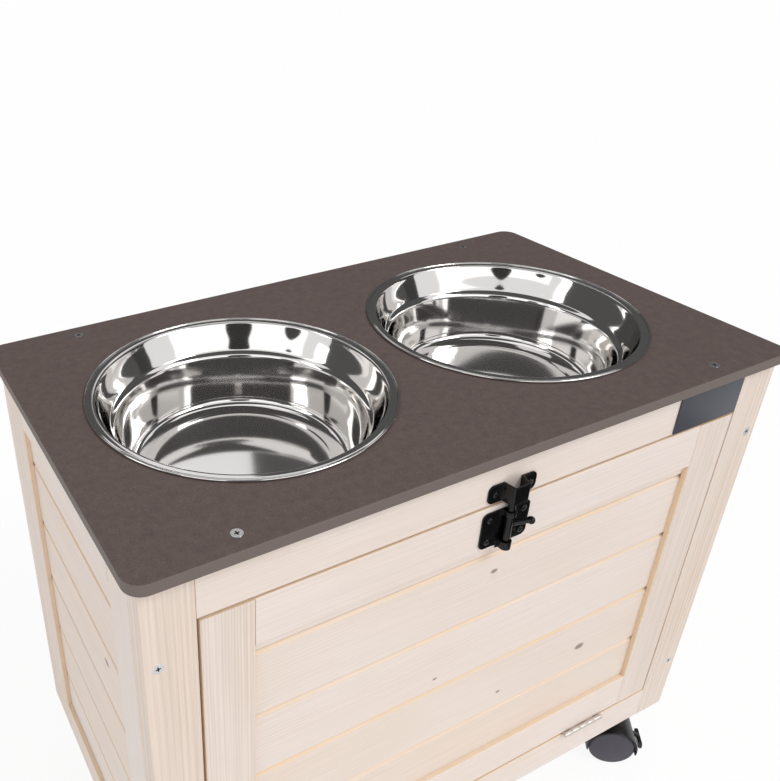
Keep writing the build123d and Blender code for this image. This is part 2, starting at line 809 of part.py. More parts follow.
# ---------------------------------------------------------------- casters
# Each form is made once, under a swivel axis at the origin and trailing along +X.
axle_z = caster_wheel_radius
plate_under = caster_height - caster_plate_thickness
race_under = plate_under - race_height
hood_top = race_under - swivel_gap
well_radius = caster_wheel_radius + hood_wheel_gap
skirt_z = axle_z - hood_skirt_drop
pin_bottom = caster_height - swivel_pin_length
boss_bottom = pin_bottom - 2 * swivel_gap


def polar(radius, angle):
    """Point in the hood's side view, measured about the axle."""
    return (caster_trail + radius * cos(radians(angle)), axle_z + radius * sin(radians(angle)))


lever_pivot = polar(lever_pivot_radius, lever_pivot_angle)
pedal_root_radius = hood_radius + lever_pedal_root_gap
pedal_tip_radius = hood_radius + lever_pedal_tip_gap
pedal_middle_radius = (pedal_root_radius + pedal_tip_radius) / 2
pedal_middle_angle = (lever_pedal_root_angle + lever_pedal_tip_angle) / 2
pedal_root = polar(pedal_root_radius + lever_pedal_thickness / 2, lever_pedal_root_angle)
arm_run = (pedal_root[0] - lever_pivot[0], pedal_root[1] - lever_pivot[1])
arm_length = sqrt(arm_run[0] ** 2 + arm_run[1] ** 2)
arm_angle = degrees(atan2(arm_run[1], arm_run[0]))


def hood(braked):
    """Moulded body: a fender over both treads, the neck of the swivel and the axle's web."""
    with BuildPart() as moulding:
        with BuildSketch(Plane.XZ):
            with Locations((caster_trail, axle_z)):
                Circle(hood_radius)
        extrude(amount=hood_half_width, both=True)
        fillet(moulding.edges().filter_by(GeomType.CIRCLE), hood_edge_round)
        with BuildSketch(Plane.XZ):
            with Locations((caster_trail, axle_z)):
                Circle(hood_radius)
            with Locations((0, hood_top)):
                Rectangle(2 * hood_neck_radius, hood_neck_lip, align=(Align.CENTER, Align.MAX))
            make_hull()
        extrude(amount=hood_neck_half, both=True)
        with Locations((caster_trail, 0, skirt_z)):
            Box(3 * hood_radius, 3 * hood_half_width, 2 * hood_radius,
                align=(Align.CENTER, Align.CENTER, Align.MAX), mode=Mode.SUBTRACT)
        for direction in (-1, 1):
            with BuildSketch(Plane.XZ.offset(direction * hood_web_half)):
                with Locations((caster_trail, axle_z)):
                    Circle(well_radius)
            extrude(amount=direction * hood_half_width, mode=Mode.SUBTRACT)
        with BuildSketch(Plane.XY.offset(boss_bottom)):
            Circle(hood_boss_radius)
        extrude(amount=hood_top - boss_bottom)
        with BuildSketch(Plane.XZ):
            with Locations((caster_trail, axle_z)):
                Circle(axle_boss_radius)
        extrude(amount=axle_boss_half, both=True)
        if braked:
            with BuildSketch(Plane.XZ):
                with Locations(lever_pivot):
                    Circle(lever_cheek_radius)
            extrude(amount=lever_cheek_half, both=True)
            with BuildSketch(Plane.XZ):
                with Locations(lever_pivot):
                    Circle(lever_hub_radius + lever_pocket_clearance)
                    Rectangle(2 * arm_length, lever_slot_width,
                              rotation=arm_angle - lever_travel / 2,
                              align=(Align.MIN, Align.CENTER))
            extrude(amount=lever_half + lever_side_clearance, both=True, mode=Mode.SUBTRACT)
            with BuildSketch(Plane.XZ):
                with Locations(lever_pivot):
                    Circle(lever_trunnion_radius + axle_clearance)
            extrude(amount=lever_cheek_half, both=True, mode=Mode.SUBTRACT)
        with Locations((0, 0, hood_top)):
            Hole(swivel_pin_radius + swivel_clearance, hood_top - pin_bottom + swivel_gap)
        with BuildSketch(Plane.XZ):
            with Locations((caster_trail, axle_z)):
                Circle(axle_radius + axle_fit)
        extrude(amount=hood_half_width, both=True, mode=Mode.SUBTRACT)
    return moulding


def wheel(direction):
    """One wheel of the pair: a dished disc with a closed, domed outer face."""
    web_inside = wheel_outer_face - wheel_web_thickness
    bore_end = wheel_outer_face - wheel_cap_thickness
    bore = axle_radius + axle_clearance
    rim_inside = caster_wheel_radius - wheel_rim_thickness
    shoulder = caster_wheel_radius - wheel_rim_round
    dome_rise = wheel_outer_face + wheel_dome
    bend = wheel_rim_round * (1 - sqrt(0.5))
    turned = Plane((caster_trail, 0, axle_z), x_dir=(1, 0, 0), z_dir=(0, 0, direction))
    with BuildPart() as disc:
        with BuildSketch(turned):
            with BuildLine():
                Polyline(
                    (0, bore_end),
                    (bore, bore_end),
                    (bore, wheel_inner_face),
                    (wheel_hub_radius, wheel_inner_face),
                    (wheel_hub_radius, web_inside),
                    (rim_inside, web_inside),
                    (rim_inside, wheel_inner_face),
                    (caster_wheel_radius - wheel_inner_chamfer, wheel_inner_face),
                    (caster_wheel_radius, wheel_inner_face + wheel_inner_chamfer),
                    (caster_wheel_radius, wheel_outer_face - wheel_rim_round),
                )
                ThreePointArc(
                    (caster_wheel_radius, wheel_outer_face - wheel_rim_round),
                    (caster_wheel_radius - bend, wheel_outer_face - bend),
                    (shoulder, wheel_outer_face),
                )
                TangentArc((0, dome_rise), (shoulder, wheel_outer_face), tangent=(1, 0))
                Line((0, dome_rise), (0, bore_end))
            make_face()
        revolve(axis=Axis((caster_trail, 0, axle_z), (0, 1, 0)))
    return disc


with BuildPart() as axle:
    with BuildSketch(Plane.XZ):
        with Locations((caster_trail, axle_z)):
            Circle(axle_radius)
    extrude(amount=wheel_outer_face - wheel_cap_thickness - axle_end_gap, both=True)

with BuildPart() as lever:
    with BuildSketch(Plane.XZ):
        with Locations(lever_pivot):
            Circle(lever_hub_radius)
            Rectangle(arm_length, lever_arm_thickness, rotation=arm_angle,
                      align=(Align.MIN, Align.CENTER))
    extrude(amount=lever_half, both=True)
    with BuildSketch(Plane.XZ) as pedal:
        with BuildLine():
            inner = ThreePointArc(
                polar(pedal_root_radius, lever_pedal_root_angle),
                polar(pedal_middle_radius, pedal_middle_angle),
                polar(pedal_tip_radius, lever_pedal_tip_angle),
            )
            outer = ThreePointArc(
                polar(pedal_root_radius + lever_pedal_thickness, lever_pedal_root_angle),
                polar(pedal_middle_radius + lever_pedal_thickness, pedal_middle_angle),
                polar(pedal_tip_radius + lever_pedal_thickness, lever_pedal_tip_angle),
            )
            Line(inner @ 0, outer @ 0)
            Line(inner @ 1, outer @ 1)
        make_face()
        fillet(pedal.vertices(), lever_pedal_thickness / 3)
    extrude(amount=lever_pedal_half, both=True)
    with BuildSketch(Plane.XZ):
        with Locations(lever_pivot):
            Circle(lever_trunnion_radius)
    extrude(amount=lever_trunnion_half, both=True)

with BuildPart() as caster_plate:
    with BuildSketch(Plane.XY.offset(plate_under)):
        RectangleRounded(caster_plate_size, caster_plate_size, caster_plate_corner_radius)
    extrude(amount=caster_plate_thickness)
    with BuildSketch(Plane.XY.offset(race_under)):
        Circle(race_radius)
    extrude(amount=race_height)
    with BuildSketch(Plane.XY.offset(race_under)):
        Circle(swivel_pin_radius + axle_fit)
        with GridLocations(caster_screw_pitch, caster_screw_pitch, 2, 2):
            Circle(caster_screw_pilot)
    extrude(amount=race_height + caster_plate_thickness, mode=Mode.SUBTRACT)

with BuildPart() as swivel_pin:
    with BuildSketch(Plane.XY.offset(pin_bottom)):
        Circle(swivel_pin_radius)
    extrude(amount=swivel_pin_length)

caster_screw = pan_screw(
    caster_screw_head_radius, caster_screw_head_height,
    caster_screw_shank_radius, caster_screw_length,
)
plate_seats = [Plane((x, y, 0)) for x, y in caster_places.values()]
keep(copies(caster_plate, plate_seats), "caster_plates")
keep(copies(swivel_pin, plate_seats), "swivel_pins")
keep(copies(caster_screw, seats(underside.offset(caster_plate_thickness), caster_screw_points)),
     "caster_screws")

rest_turn = radians(caster_rest_turn)
hoods = {True: hood(True), False: hood(False)}
wheels = {"a": wheel(-1), "b": wheel(1)}
for corner, (x, y) in caster_places.items():
    place = [Plane((x, y, 0), x_dir=(cos(rest_turn), sin(rest_turn), 0))]
    braked = corner.startswith("front")
    keep(copies(hoods[braked], place), f"hood_{corner}")
    keep(copies(axle, place), f"axle_{corner}")
    for half, form in wheels.items():
        keep(copies(form, place), f"wheel_{corner}_{half}")
    if braked:
        keep(copies(lever, place), f"brake_lever_{corner}")
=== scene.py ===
import bmesh
import bpy
import json
import math
from mathutils import Matrix, Vector

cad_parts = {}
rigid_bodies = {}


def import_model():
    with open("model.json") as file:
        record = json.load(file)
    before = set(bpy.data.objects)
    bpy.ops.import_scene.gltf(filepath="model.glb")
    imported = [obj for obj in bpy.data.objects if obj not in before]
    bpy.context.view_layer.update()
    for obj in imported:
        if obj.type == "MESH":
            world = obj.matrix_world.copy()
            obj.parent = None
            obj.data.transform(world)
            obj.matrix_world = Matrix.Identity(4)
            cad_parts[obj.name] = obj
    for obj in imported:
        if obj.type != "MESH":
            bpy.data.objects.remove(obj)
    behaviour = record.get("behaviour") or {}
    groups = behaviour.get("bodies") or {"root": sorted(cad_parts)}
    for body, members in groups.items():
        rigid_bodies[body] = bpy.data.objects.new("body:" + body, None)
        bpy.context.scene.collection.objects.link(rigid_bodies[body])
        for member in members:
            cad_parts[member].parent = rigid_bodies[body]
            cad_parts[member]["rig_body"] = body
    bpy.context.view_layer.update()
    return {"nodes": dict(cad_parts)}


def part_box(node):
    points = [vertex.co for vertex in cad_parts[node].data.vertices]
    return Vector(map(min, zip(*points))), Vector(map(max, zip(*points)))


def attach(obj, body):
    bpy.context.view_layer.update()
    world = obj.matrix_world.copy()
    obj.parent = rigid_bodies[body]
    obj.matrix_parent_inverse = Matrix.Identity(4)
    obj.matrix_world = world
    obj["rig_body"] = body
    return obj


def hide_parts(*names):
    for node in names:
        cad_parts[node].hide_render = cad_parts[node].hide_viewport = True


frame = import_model()
mm = 0.001              # Blender works in metres
weldWithin = 0.01       # mm, points this close become one
solidWithin = 0.005     # mm, the same while the solids of a CAD node are told apart


# Shaders: helpers

def linear(hexCode):
    # sRGB hex to the linear values that shaders work in
    parts = [int(hexCode[i:i + 2], 16) / 255 for i in (1, 3, 5)]
    return tuple(p / 12.92 if p <= 0.04045 else ((p + 0.055) / 1.055) ** 2.4 for p in parts) + (1.0,)


def addNode(tree, kind, settings=None, inputs=None):
    # inputs go by name or number, or as a list in their order; a socket, or the first output of
    # a node, is linked, and anything else is set
    made = tree.nodes.new(kind)
    for key, value in (settings or {}).items():
        setattr(made, key, value)
    if isinstance(inputs, list):
        inputs = dict(enumerate(inputs))
    for key, value in (inputs or {}).items():
        if isinstance(value, bpy.types.Node):
            value = value.outputs[0]
        if isinstance(value, bpy.types.NodeSocket):
            tree.links.new(value, made.inputs[key])
        else:
            made.inputs[key].default_value = value
    return made


def startMaterial(name, roughness, metallic=0.0, colour=None):
    material = bpy.data.materials.new(name)
    material.use_nodes = True
    tree = material.node_tree
    tree.nodes.clear()
    shader = addNode(tree, "ShaderNodeBsdfPrincipled",
                     inputs={"Roughness": roughness, "Metallic": metallic})
    if colour:
        shader.inputs["Base Color"].default_value = linear(colour)
    addNode(tree, "ShaderNodeOutputMaterial", inputs={"Surface": shader})
    return material, tree, shader


def startGroup(name, inputs, outputs):
    group = bpy.data.node_groups.new(name, "ShaderNodeTree")
    for way, sockets in (("INPUT", inputs), ("OUTPUT", outputs)):
        for socket, kind in sockets.items():
            group.interface.new_socket(socket, in_out=way, socket_type="NodeSocket" + kind)
    return group, addNode(group, "NodeGroupInput").outputs


def setRamp(ramp, stops):
    elements = ramp.color_ramp.elements
    while len(elements) < len(stops):
        elements.new(0.5)
    for element, (place, value) in zip(elements, stops):
        element.position = place
        element.color = (value, value, value, 1)


# Meshes: helpers

def pickFaces(test):
    # in edit mode, selects only the faces that pass the test
    mesh = bmesh.from_edit_mesh(bpy.context.edit_object.data)
    bpy.ops.mesh.select_all(action="DESELECT")
    for face in mesh.faces:
        if test(face):
            face.select = True
    mesh.select_flush_mode()
    bmesh.update_edit_mesh(bpy.context.edit_object.data)


def selectOnly(piece):
    bpy.ops.object.select_all(action="DESELECT")
    piece.select_set(True)
    bpy.context.view_layer.objects.active = piece


def newPiece(name, primitive, **settings):
    # deselects all, adds the primitive and goes into edit mode
    bpy.ops.object.select_all(action="DESELECT")
    primitive(**settings)
    piece = bpy.context.active_object
    piece.name = name
    bpy.ops.object.transform_apply(location=True, rotation=True, scale=True)
    bpy.ops.object.mode_set(mode="EDIT")
    return piece


def useModifier(piece, kind, **settings):
    bpy.context.view_layer.objects.active = piece
    modifier = piece.modifiers.new(kind.title(), kind)
    for key, value in settings.items():
        setattr(modifier, key, value)
    bpy.ops.object.modifier_apply(modifier=modifier.name)


def mergeMesh(piece):
    selectOnly(piece)
    bpy.ops.object.mode_set(mode="EDIT")
    bpy.ops.mesh.select_all(action="SELECT")
    bpy.ops.mesh.remove_doubles(threshold=weldWithin * mm)
    bpy.ops.mesh.normals_make_consistent(inside=False)
    bpy.ops.object.mode_set(mode="OBJECT")


def smooth(piece, crease=35):
    # edges that turn by more than the crease, in degrees, stay crisp
    selectOnly(piece)
    bpy.ops.object.shade_smooth_by_angle(angle=math.radians(crease))


def traceRings(rings, centre=(0, 0)):
    # the open circle in edit mode is drawn out to each next (radius, height), in mm
    for (radius, height), (nextRadius, nextHeight) in zip(rings, rings[1:]):
        bpy.ops.mesh.extrude_region_move(
            TRANSFORM_OT_translate={"value": (0, 0, (nextHeight - height) * mm)})
        share = nextRadius / radius
        bpy.ops.transform.resize(value=(share, share, 1),
                                 center_override=(centre[0], centre[1], nextHeight * mm))


def lathe(name, rings, segments):
    # a turned form about the Z axis, with a flat first end
    radius, height = rings[0]
    piece = newPiece(name, bpy.ops.mesh.primitive_circle_add, vertices=segments, radius=radius * mm,
                     fill_type="NGON", location=(0, 0, height * mm))
    bpy.ops.mesh.select_all(action="SELECT")
    traceRings(rings)
    bpy.ops.object.mode_set(mode="OBJECT")
    mergeMesh(piece)
    return piece


def placedCopy(source, name, matrix):
    made = source.copy()
    made.data = source.data.copy()
    made.name = name
    bpy.context.scene.collection.objects.link(made)
    made.data.transform(matrix)
    return made


def joinAll(pieces, name):
    bpy.ops.object.select_all(action="DESELECT")
    for piece in pieces:
        piece.select_set(True)
    bpy.context.view_layer.objects.active = pieces[0]
    if len(pieces) > 1:
        bpy.ops.object.join()
    pieces[0].name = name
    return pieces[0]


edgeLooks = {
    "corner": 40,           # degrees, edges that turn by more than this are rounded
    "flat": 0.5,            # degrees, faces that turn by less than this become one
}


def softCopy(node, name, width, segments=3):
    # a merged copy of a CAD node with its sharp edges rounded, width in mm
    made = placedCopy(frame["nodes"][node], name, Matrix())
    made.parent = None
    for key in list(made.keys()):
        del made[key]
    selectOnly(made)
    bpy.ops.mesh.customdata_custom_splitnormals_clear()
    mergeMesh(made)
    bpy.ops.object.mode_set(mode="EDIT")
    bpy.ops.mesh.select_all(action="SELECT")
    bpy.ops.mesh.dissolve_limited(angle_limit=math.radians(edgeLooks["flat"]))
    bpy.ops.object.mode_set(mode="OBJECT")
    useModifier(made, "BEVEL", width=width * mm, segments=segments, limit_method="ANGLE",
                angle_limit=math.radians(edgeLooks["corner"]), use_clamp_overlap=True,
                harden_normals=False)
    smooth(made)
    return made


def dress(piece, *materials):
    piece.data.materials.clear()
    for material in materials:
        piece.data.materials.append(material)


def dressNode(name, material):
    for place in frame["nodes"][name].material_slots:
        place.material = material


def bodyOf(node):
    return frame["nodes"][node]["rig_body"]


def hand(piece, slot, *nodes):
    # the piece stands for these CAD nodes and moves with them
    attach(piece, bodyOf(nodes[0]))
    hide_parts(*nodes)


def solids(node):
    # the points of each separate solid of a CAD node
    mesh = bmesh.new()
    mesh.from_mesh(frame["nodes"][node].data)
    bmesh.ops.remove_doubles(mesh, verts=mesh.verts, dist=solidWithin * mm)
    groups = []
    seen = set()
    for start in mesh.verts:
        if start in seen:
            continue
        stack, group = [start], []
        seen.add(start)
        while stack:
            vert = stack.pop()
            group.append(vert.co.copy())
            for edge in vert.link_edges:
                other = edge.other_vert(vert)
                if other not in seen:
                    seen.add(other)
                    stack.append(other)
        groups.append(group)
    mesh.free()
    return groups


# Whitewashed pine: sawn pine under a thin white stain. Growth rings show through as faint warm
# lines, knots as small grey-brown spots, and cut edges keep the bare wood's honey colour.
pineLooks = {
    "wash": "#ead9cb",
    "washCool": "#ece0d9",
    "ring": "#d9c0a9",
    "vee": "#ebc897",
    "edge": "#e6c8a2",
    "seam": "#8d7258",
    "knot": "#6f5c50",
    # patterns: size along and across the grain in mm, and how finely they break up
    "fibre": (60.0, 0.8, 3.0),      # a little coarser than real fibre, so that it shows
    "streak": (240.0, 2.2, 2.0),
    "patch": (300.0, 150.0, 2.0),   # of thicker or thinner stain
    "sway": (230.0, 55.0, 2.0),     # of a ring's line
    "fade": (260.0, 22.0, 1.0),     # of the rings' strength
    "rub": (120.0, math.inf, 1.0),  # of the bare wood along a vee
    "logShift": 900.0,              # mm, how far apart in the log two boards may be cut
    "heartShift": 60.0,             # mm, how much further off a board's heart may lie
    "taper": 0.02,                  # mm of ring for each mm of length
    "seedStep": 41.0,
    "ringProfile": [(0.0, 0.0), (0.4, 0.1), (0.8, 1.0), (0.97, 0.05)],  # pale wood, then the dark line
    "knotStrength": 0.75,
    "roughness": 0.55,
    "grainDepth": 0.12,             # mm
    "grainStrength": 0.35,
    "ringHeight": 0.5,              # of the fibre's
    "coolShift": 0.3,               # how much one board's stain may differ from the next one's
    "ramps": {
        # from low and high, to low and high
        "ringFade": (0.3, 0.7, 0.25, 1.0),
        "boardRings": (0.0, 1.0, 0.45, 1.5),
        "cool": (0.45, 0.85, 0.0, 1.0),
        "fibre": (0.3, 0.7, 0.965, 1.02),
        "streak": (0.35, 0.65, -1.0, 1.0),
        "edge": (0.2, 0.6, 0.5, 0.0),
        "vee": (0.8, 0.95, 1.0, 0.0),
        "rub": (0.3, 0.7, 0.5, 1.0),
        "jointRub": (0.2, 1.0, 0.25, 0.8),
        "seam": (0.25, 0.8, 0.55, 0.0),     # mm from the joint
    },
}
cuts = {
    # how a piece was sawn: the tree's heart (behind, beside) in mm, ring spacing and sway in mm, then
    # how strongly rings and streaks show, and the tone
    "fine": {"Pith": (90, 420, 0), "Spacing": 2.3, "Sway": 5.0, "Rings": 0.65, "Streak": 0.05,
             "Tone": 0.97},
    "open": {"Pith": (120, 380, 0), "Spacing": 5.2, "Sway": 8.0, "Rings": 0.7, "Streak": 0.05,
             "Tone": 0.965},
    "plain": {"Pith": (260, 330, 0), "Spacing": 4.2, "Sway": 8.0, "Rings": 0.15, "Streak": 0.015,
              "Tone": 1.0},
    "flat": {"Pith": (75, 130, 0), "Spacing": 3.4, "Sway": 12.0, "Rings": 0.2, "Streak": 0.018,
             "Tone": 1.0},
}
timber = {
    # node: axis of its grain, axis its face looks along (none for a square post), cut
    "front_left_post": ("Z", "", "open"),
    "front_right_post": ("Z", "", "open"),
    "front_top_rail": ("X", "Y", "plain"),
    "front_bottom_rail": ("X", "Y", "plain"),
    "back_left_post": ("Z", "", "fine"),
    "back_right_post": ("Z", "", "plain"),
    "back_top_rail": ("X", "Y", "flat"),
    "back_bottom_rail": ("X", "Y", "plain"),
    "left_front_stile": ("Z", "X", "plain"),
    "left_back_stile": ("Z", "X", "fine"),
    "left_top_rail": ("Y", "X", "plain"),
    "left_bottom_rail": ("Y", "X", "flat"),
    "right_front_stile": ("Z", "X", "fine"),
    "right_back_stile": ("Z", "X", "plain"),
    "right_top_rail": ("Y", "X", "flat"),
    "right_bottom_rail": ("Y", "X", "plain"),
    "door_left_stile": ("Z", "Y", "fine"),
    "door_right_stile": ("Z", "Y", "fine"),
    "door_top_rail": ("X", "Y", "plain"),
    "door_bottom_rail": ("X", "Y", "plain"),
    "door_stop": ("X", "Y", "plain"),
    "floor_panel": ("X", "Z", "flat"),
}
linings = {
    # node: grain, face, drop of the first joint below the frame's top edge in mm, the frame's top
    "door_boards": ("X", "Y", 54.6, "door_left_stile"),
    "left_boards": ("Y", "X", 79.0, "left_front_stile"),
    "right_boards": ("Y", "X", 79.0, "right_front_stile"),
    "back_boards": ("X", "Y", 79.0, "back_left_post"),
}
boardPitch = 66.0           # mm
jointsBelow = 8             # joints are counted from below the lining's foot
knots = {
    # node: (along, across, radius) in mm
    "door_boards": [(4.2, 371.9, 2.6), (134.9, 221.4, 4.2), (-42.3, 273.6, 1.7), (36.5, 214.2, 1.8)],
    "left_boards": [(-60.0, 325.0, 3.5)],
    "right_boards": [(20.0, 280.0, 4.0), (-70.0, 150.0, 3.0)],
    "back_boards": [(120.0, 330.0, 4.5), (-160.0, 210.0, 3.5), (40.0, 130.0, 2.5)],
    "floor_panel": [(-90.0, 40.0, 5.0), (150.0, -60.0, 4.0)],
}
knotLooks = {
    "squash": 0.6,          # a knot is longer along the grain
    "core": (0.5, 1.05, 1.0, 0.0),  # between these shares of its radius its dark middle fades out
    "bend": (0.0, 5.0, 2.4, 0.0),   # as far out as this it bends the rings, by so many of them
}


def makeKnotGroup():
    tree, given = startGroup("knot", {
        "Along": "Float", "Across": "Float", "KnotAlong": "Float", "KnotAcross": "Float",
        "Radius": "Float"}, {"Core": "Float", "Bend": "Float"})
    minus = {"operation": "SUBTRACT"}
    ahead = addNode(tree, "ShaderNodeMath", minus, [given["Along"], given["KnotAlong"]])
    beside = addNode(tree, "ShaderNodeMath", minus, [given["Across"], given["KnotAcross"]])
    squashed = addNode(tree, "ShaderNodeMath", {"operation": "MULTIPLY"}, [ahead, knotLooks["squash"]])
    spot = addNode(tree, "ShaderNodeCombineXYZ", inputs=[squashed, beside])
    away = addNode(tree, "ShaderNodeVectorMath", {"operation": "LENGTH"}, [spot])
    radii = addNode(tree, "ShaderNodeMath", {"operation": "DIVIDE"},
                    [away.outputs["Value"], given["Radius"]])
    core = addNode(tree, "ShaderNodeMapRange", {"interpolation_type": "SMOOTHSTEP"},
                   [radii, *knotLooks["core"]])
    bend = addNode(tree, "ShaderNodeMapRange", {"interpolation_type": "SMOOTHERSTEP"},
                   [radii, *knotLooks["bend"]])
    addNode(tree, "NodeGroupOutput", inputs={"Core": core, "Bend": bend})


def makePineGroup():
    sockets = {name: "Vector" for name in ("Place", "Facing", "Grain", "Face", "Side", "Pith")}
    sockets.update({name: "Float" for name in (
        "Seed", "Spacing", "Sway", "Rings", "Streak", "Tone", "FirstJoint", "Pitch", "Bare",
        "KnotCore", "KnotBend")})
    tree, given = startGroup("whitewashedPine", sockets, {"Color": "Color", "Height": "Float"})
    plus, minus, times, over, timesPlus = ({"operation": name} for name in (
        "ADD", "SUBTRACT", "MULTIPLY", "DIVIDE", "MULTIPLY_ADD"))
    softStep = {"interpolation_type": "SMOOTHSTEP"}
    ramps = pineLooks["ramps"]
    byColour = {"data_type": "RGBA"}

    inMm = addNode(tree, "ShaderNodeVectorMath", {"operation": "SCALE"},
                   {0: given["Place"], "Scale": 1 / mm})
    along, depth, across = (
        addNode(tree, "ShaderNodeVectorMath", {"operation": "DOT_PRODUCT"},
                [inMm, given[axis]]).outputs["Value"] for axis in ("Grain", "Face", "Side"))

    # each board of a lining has its own cut of wood
    counted = addNode(tree, "ShaderNodeMath", minus, [across, given["FirstJoint"]])
    boards = addNode(tree, "ShaderNodeMath", over, [counted, given["Pitch"]])
    board = addNode(tree, "ShaderNodeMath", {"operation": "FLOOR"}, [boards])
    downwards = addNode(tree, "ShaderNodeMath", times, [given["Pitch"], -1.0])
    inBoard = addNode(tree, "ShaderNodeMath", timesPlus, [board, downwards, counted])
    boardSeed = addNode(tree, "ShaderNodeMath", plus, [board, given["Seed"]])
    chance = addNode(tree, "ShaderNodeTexWhiteNoise", {"noise_dimensions": "1D"},
                     {"W": boardSeed}).outputs["Value"]
    start = addNode(tree, "ShaderNodeMath", plus, [along, given["Seed"]])
    moved = addNode(tree, "ShaderNodeMath", timesPlus, [chance, pineLooks["logShift"], start])
    spot = addNode(tree, "ShaderNodeCombineXYZ", inputs=[moved, inBoard, depth])
    pattern = {}
    for name in ("fibre", "streak", "patch", "sway", "fade", "rub"):
        length, width, detail = pineLooks[name]
        stretched = addNode(tree, "ShaderNodeVectorMath", {"operation": "MULTIPLY"},
                            [spot, (1 / length, 1 / width, 1 / width)])
        pattern[name] = addNode(tree, "ShaderNodeTexNoise", inputs={
            "Vector": stretched, "Scale": 1.0, "Detail": detail})

    # growth rings, by the distance from the tree's heart
    pith = addNode(tree, "ShaderNodeSeparateXYZ", inputs=[given["Pith"]])
    behind = addNode(tree, "ShaderNodeMath", timesPlus,
                     [moved, pineLooks["taper"], pith.outputs["X"]])
    away = addNode(tree, "ShaderNodeMath", plus, [depth, behind])
    heart = addNode(tree, "ShaderNodeMath", timesPlus,
                    [chance, pineLooks["heartShift"], pith.outputs["Y"]])
    beside = addNode(tree, "ShaderNodeMath", minus, [inBoard, heart])
    spoke = addNode(tree, "ShaderNodeCombineXYZ", inputs=[away, beside])
    radius = addNode(tree, "ShaderNodeVectorMath", {"operation": "LENGTH"}, [spoke])
    sway = addNode(tree, "ShaderNodeMath", times, [pattern["sway"], given["Sway"]])
    swayed = addNode(tree, "ShaderNodeMath", plus, [radius.outputs["Value"], sway])
    rings = addNode(tree, "ShaderNodeMath", over, [swayed, given["Spacing"]])
    bent = addNode(tree, "ShaderNodeMath", plus, [rings, given["KnotBend"]])
    inRing = addNode(tree, "ShaderNodeMath", {"operation": "FRACT"}, [bent])
    line = addNode(tree, "ShaderNodeValToRGB", inputs=[inRing])
    setRamp(line, pineLooks["ringProfile"])
    strength = addNode(tree, "ShaderNodeMapRange", softStep,
                       [pattern["fade"], *ramps["ringFade"]])
    boardStrength = addNode(tree, "ShaderNodeMapRange", softStep,
                            [chance, *ramps["boardRings"]])
    faded = addNode(tree, "ShaderNodeMath", times, [line, strength])
    ringShare = addNode(tree, "ShaderNodeMath", times, [given["Rings"], boardStrength])
    shown = addNode(tree, "ShaderNodeMath", times, [faded, ringShare])

    # stain, rings over it, and the fibre's and streaks' light and dark
    thinned = addNode(tree, "ShaderNodeMath", timesPlus,
                      [chance, pineLooks["coolShift"], pattern["patch"]])
    cool = addNode(tree, "ShaderNodeMapRange", softStep, [thinned, *ramps["cool"]])
    stain = addNode(tree, "ShaderNodeMix", byColour, {
        0: cool, 6: linear(pineLooks["wash"]), 7: linear(pineLooks["washCool"])})
    ringed = addNode(tree, "ShaderNodeMix", byColour, {
        0: shown, 6: stain.outputs[2], 7: linear(pineLooks["ring"])})
    fibreTone = addNode(tree, "ShaderNodeMapRange", softStep,
                        [pattern["fibre"], *ramps["fibre"]])
    fine = addNode(tree, "ShaderNodeMath", times, [fibreTone, given["Tone"]])
    streak = addNode(tree, "ShaderNodeMapRange", softStep,
                     [pattern["streak"], *ramps["streak"]])
    streakTone = addNode(tree, "ShaderNodeMath", timesPlus, [streak, given["Streak"], 1.0])
    tone = addNode(tree, "ShaderNodeMath", times, [fine, streakTone])
    toned = addNode(tree, "ShaderNodeVectorMath", {"operation": "SCALE"},
                    {0: ringed.outputs[2], "Scale": tone})

    # bare wood where the face turns away, on edges and in the vees
    turned = addNode(tree, "ShaderNodeVectorMath", {"operation": "DOT_PRODUCT"},
                     [given["Facing"], given["Face"]])
    facing = addNode(tree, "ShaderNodeMath", {"operation": "ABSOLUTE"}, [turned.outputs["Value"]])
    square = addNode(tree, "ShaderNodeMapRange", softStep, [facing, *ramps["edge"]])
    edge = addNode(tree, "ShaderNodeMath", times, [square, given["Bare"]])
    slant = addNode(tree, "ShaderNodeMapRange", softStep, [facing, *ramps["vee"]])
    bareSlant = addNode(tree, "ShaderNodeMath", times, [slant, given["Bare"]])
    nearest = addNode(tree, "ShaderNodeMath", {"operation": "ROUND"}, [boards])
    jointSeed = addNode(tree, "ShaderNodeMath", plus, [nearest, given["Seed"]])
    joint = addNode(tree, "ShaderNodeTexWhiteNoise", {"noise_dimensions": "1D"}, {"W": jointSeed})
    rub = addNode(tree, "ShaderNodeMapRange", softStep,
                  [pattern["rub"], *ramps["rub"]])
    jointRub = addNode(tree, "ShaderNodeMapRange", softStep,
                       [joint.outputs["Value"], *ramps["jointRub"]])
    rubbed = addNode(tree, "ShaderNodeMath", times, [rub, jointRub])
    vee = addNode(tree, "ShaderNodeMath", times, [bareSlant, rubbed])

    # the dark line of a joint between two boards
    toNext = addNode(tree, "ShaderNodeMath", minus, [given["Pitch"], inBoard])
    fromJoint = addNode(tree, "ShaderNodeMath", {"operation": "MINIMUM"}, [inBoard, toNext])
    seam = addNode(tree, "ShaderNodeMapRange", softStep,
                   [fromJoint, *ramps["seam"]])
    knot = addNode(tree, "ShaderNodeMath", times, [given["KnotCore"], pineLooks["knotStrength"]])
    colour = toned.outputs[0]
    for share, name in ((vee, "vee"), (edge, "edge"), (seam, "seam"), (knot, "knot")):
        colour = addNode(tree, "ShaderNodeMix", byColour, {
            0: share, 6: colour, 7: linear(pineLooks[name])}).outputs[2]
    height = addNode(tree, "ShaderNodeMath", timesPlus,
                     [shown, pineLooks["ringHeight"], pattern["fibre"]])
    addNode(tree, "NodeGroupOutput", inputs={"Color": colour, "Height": height})


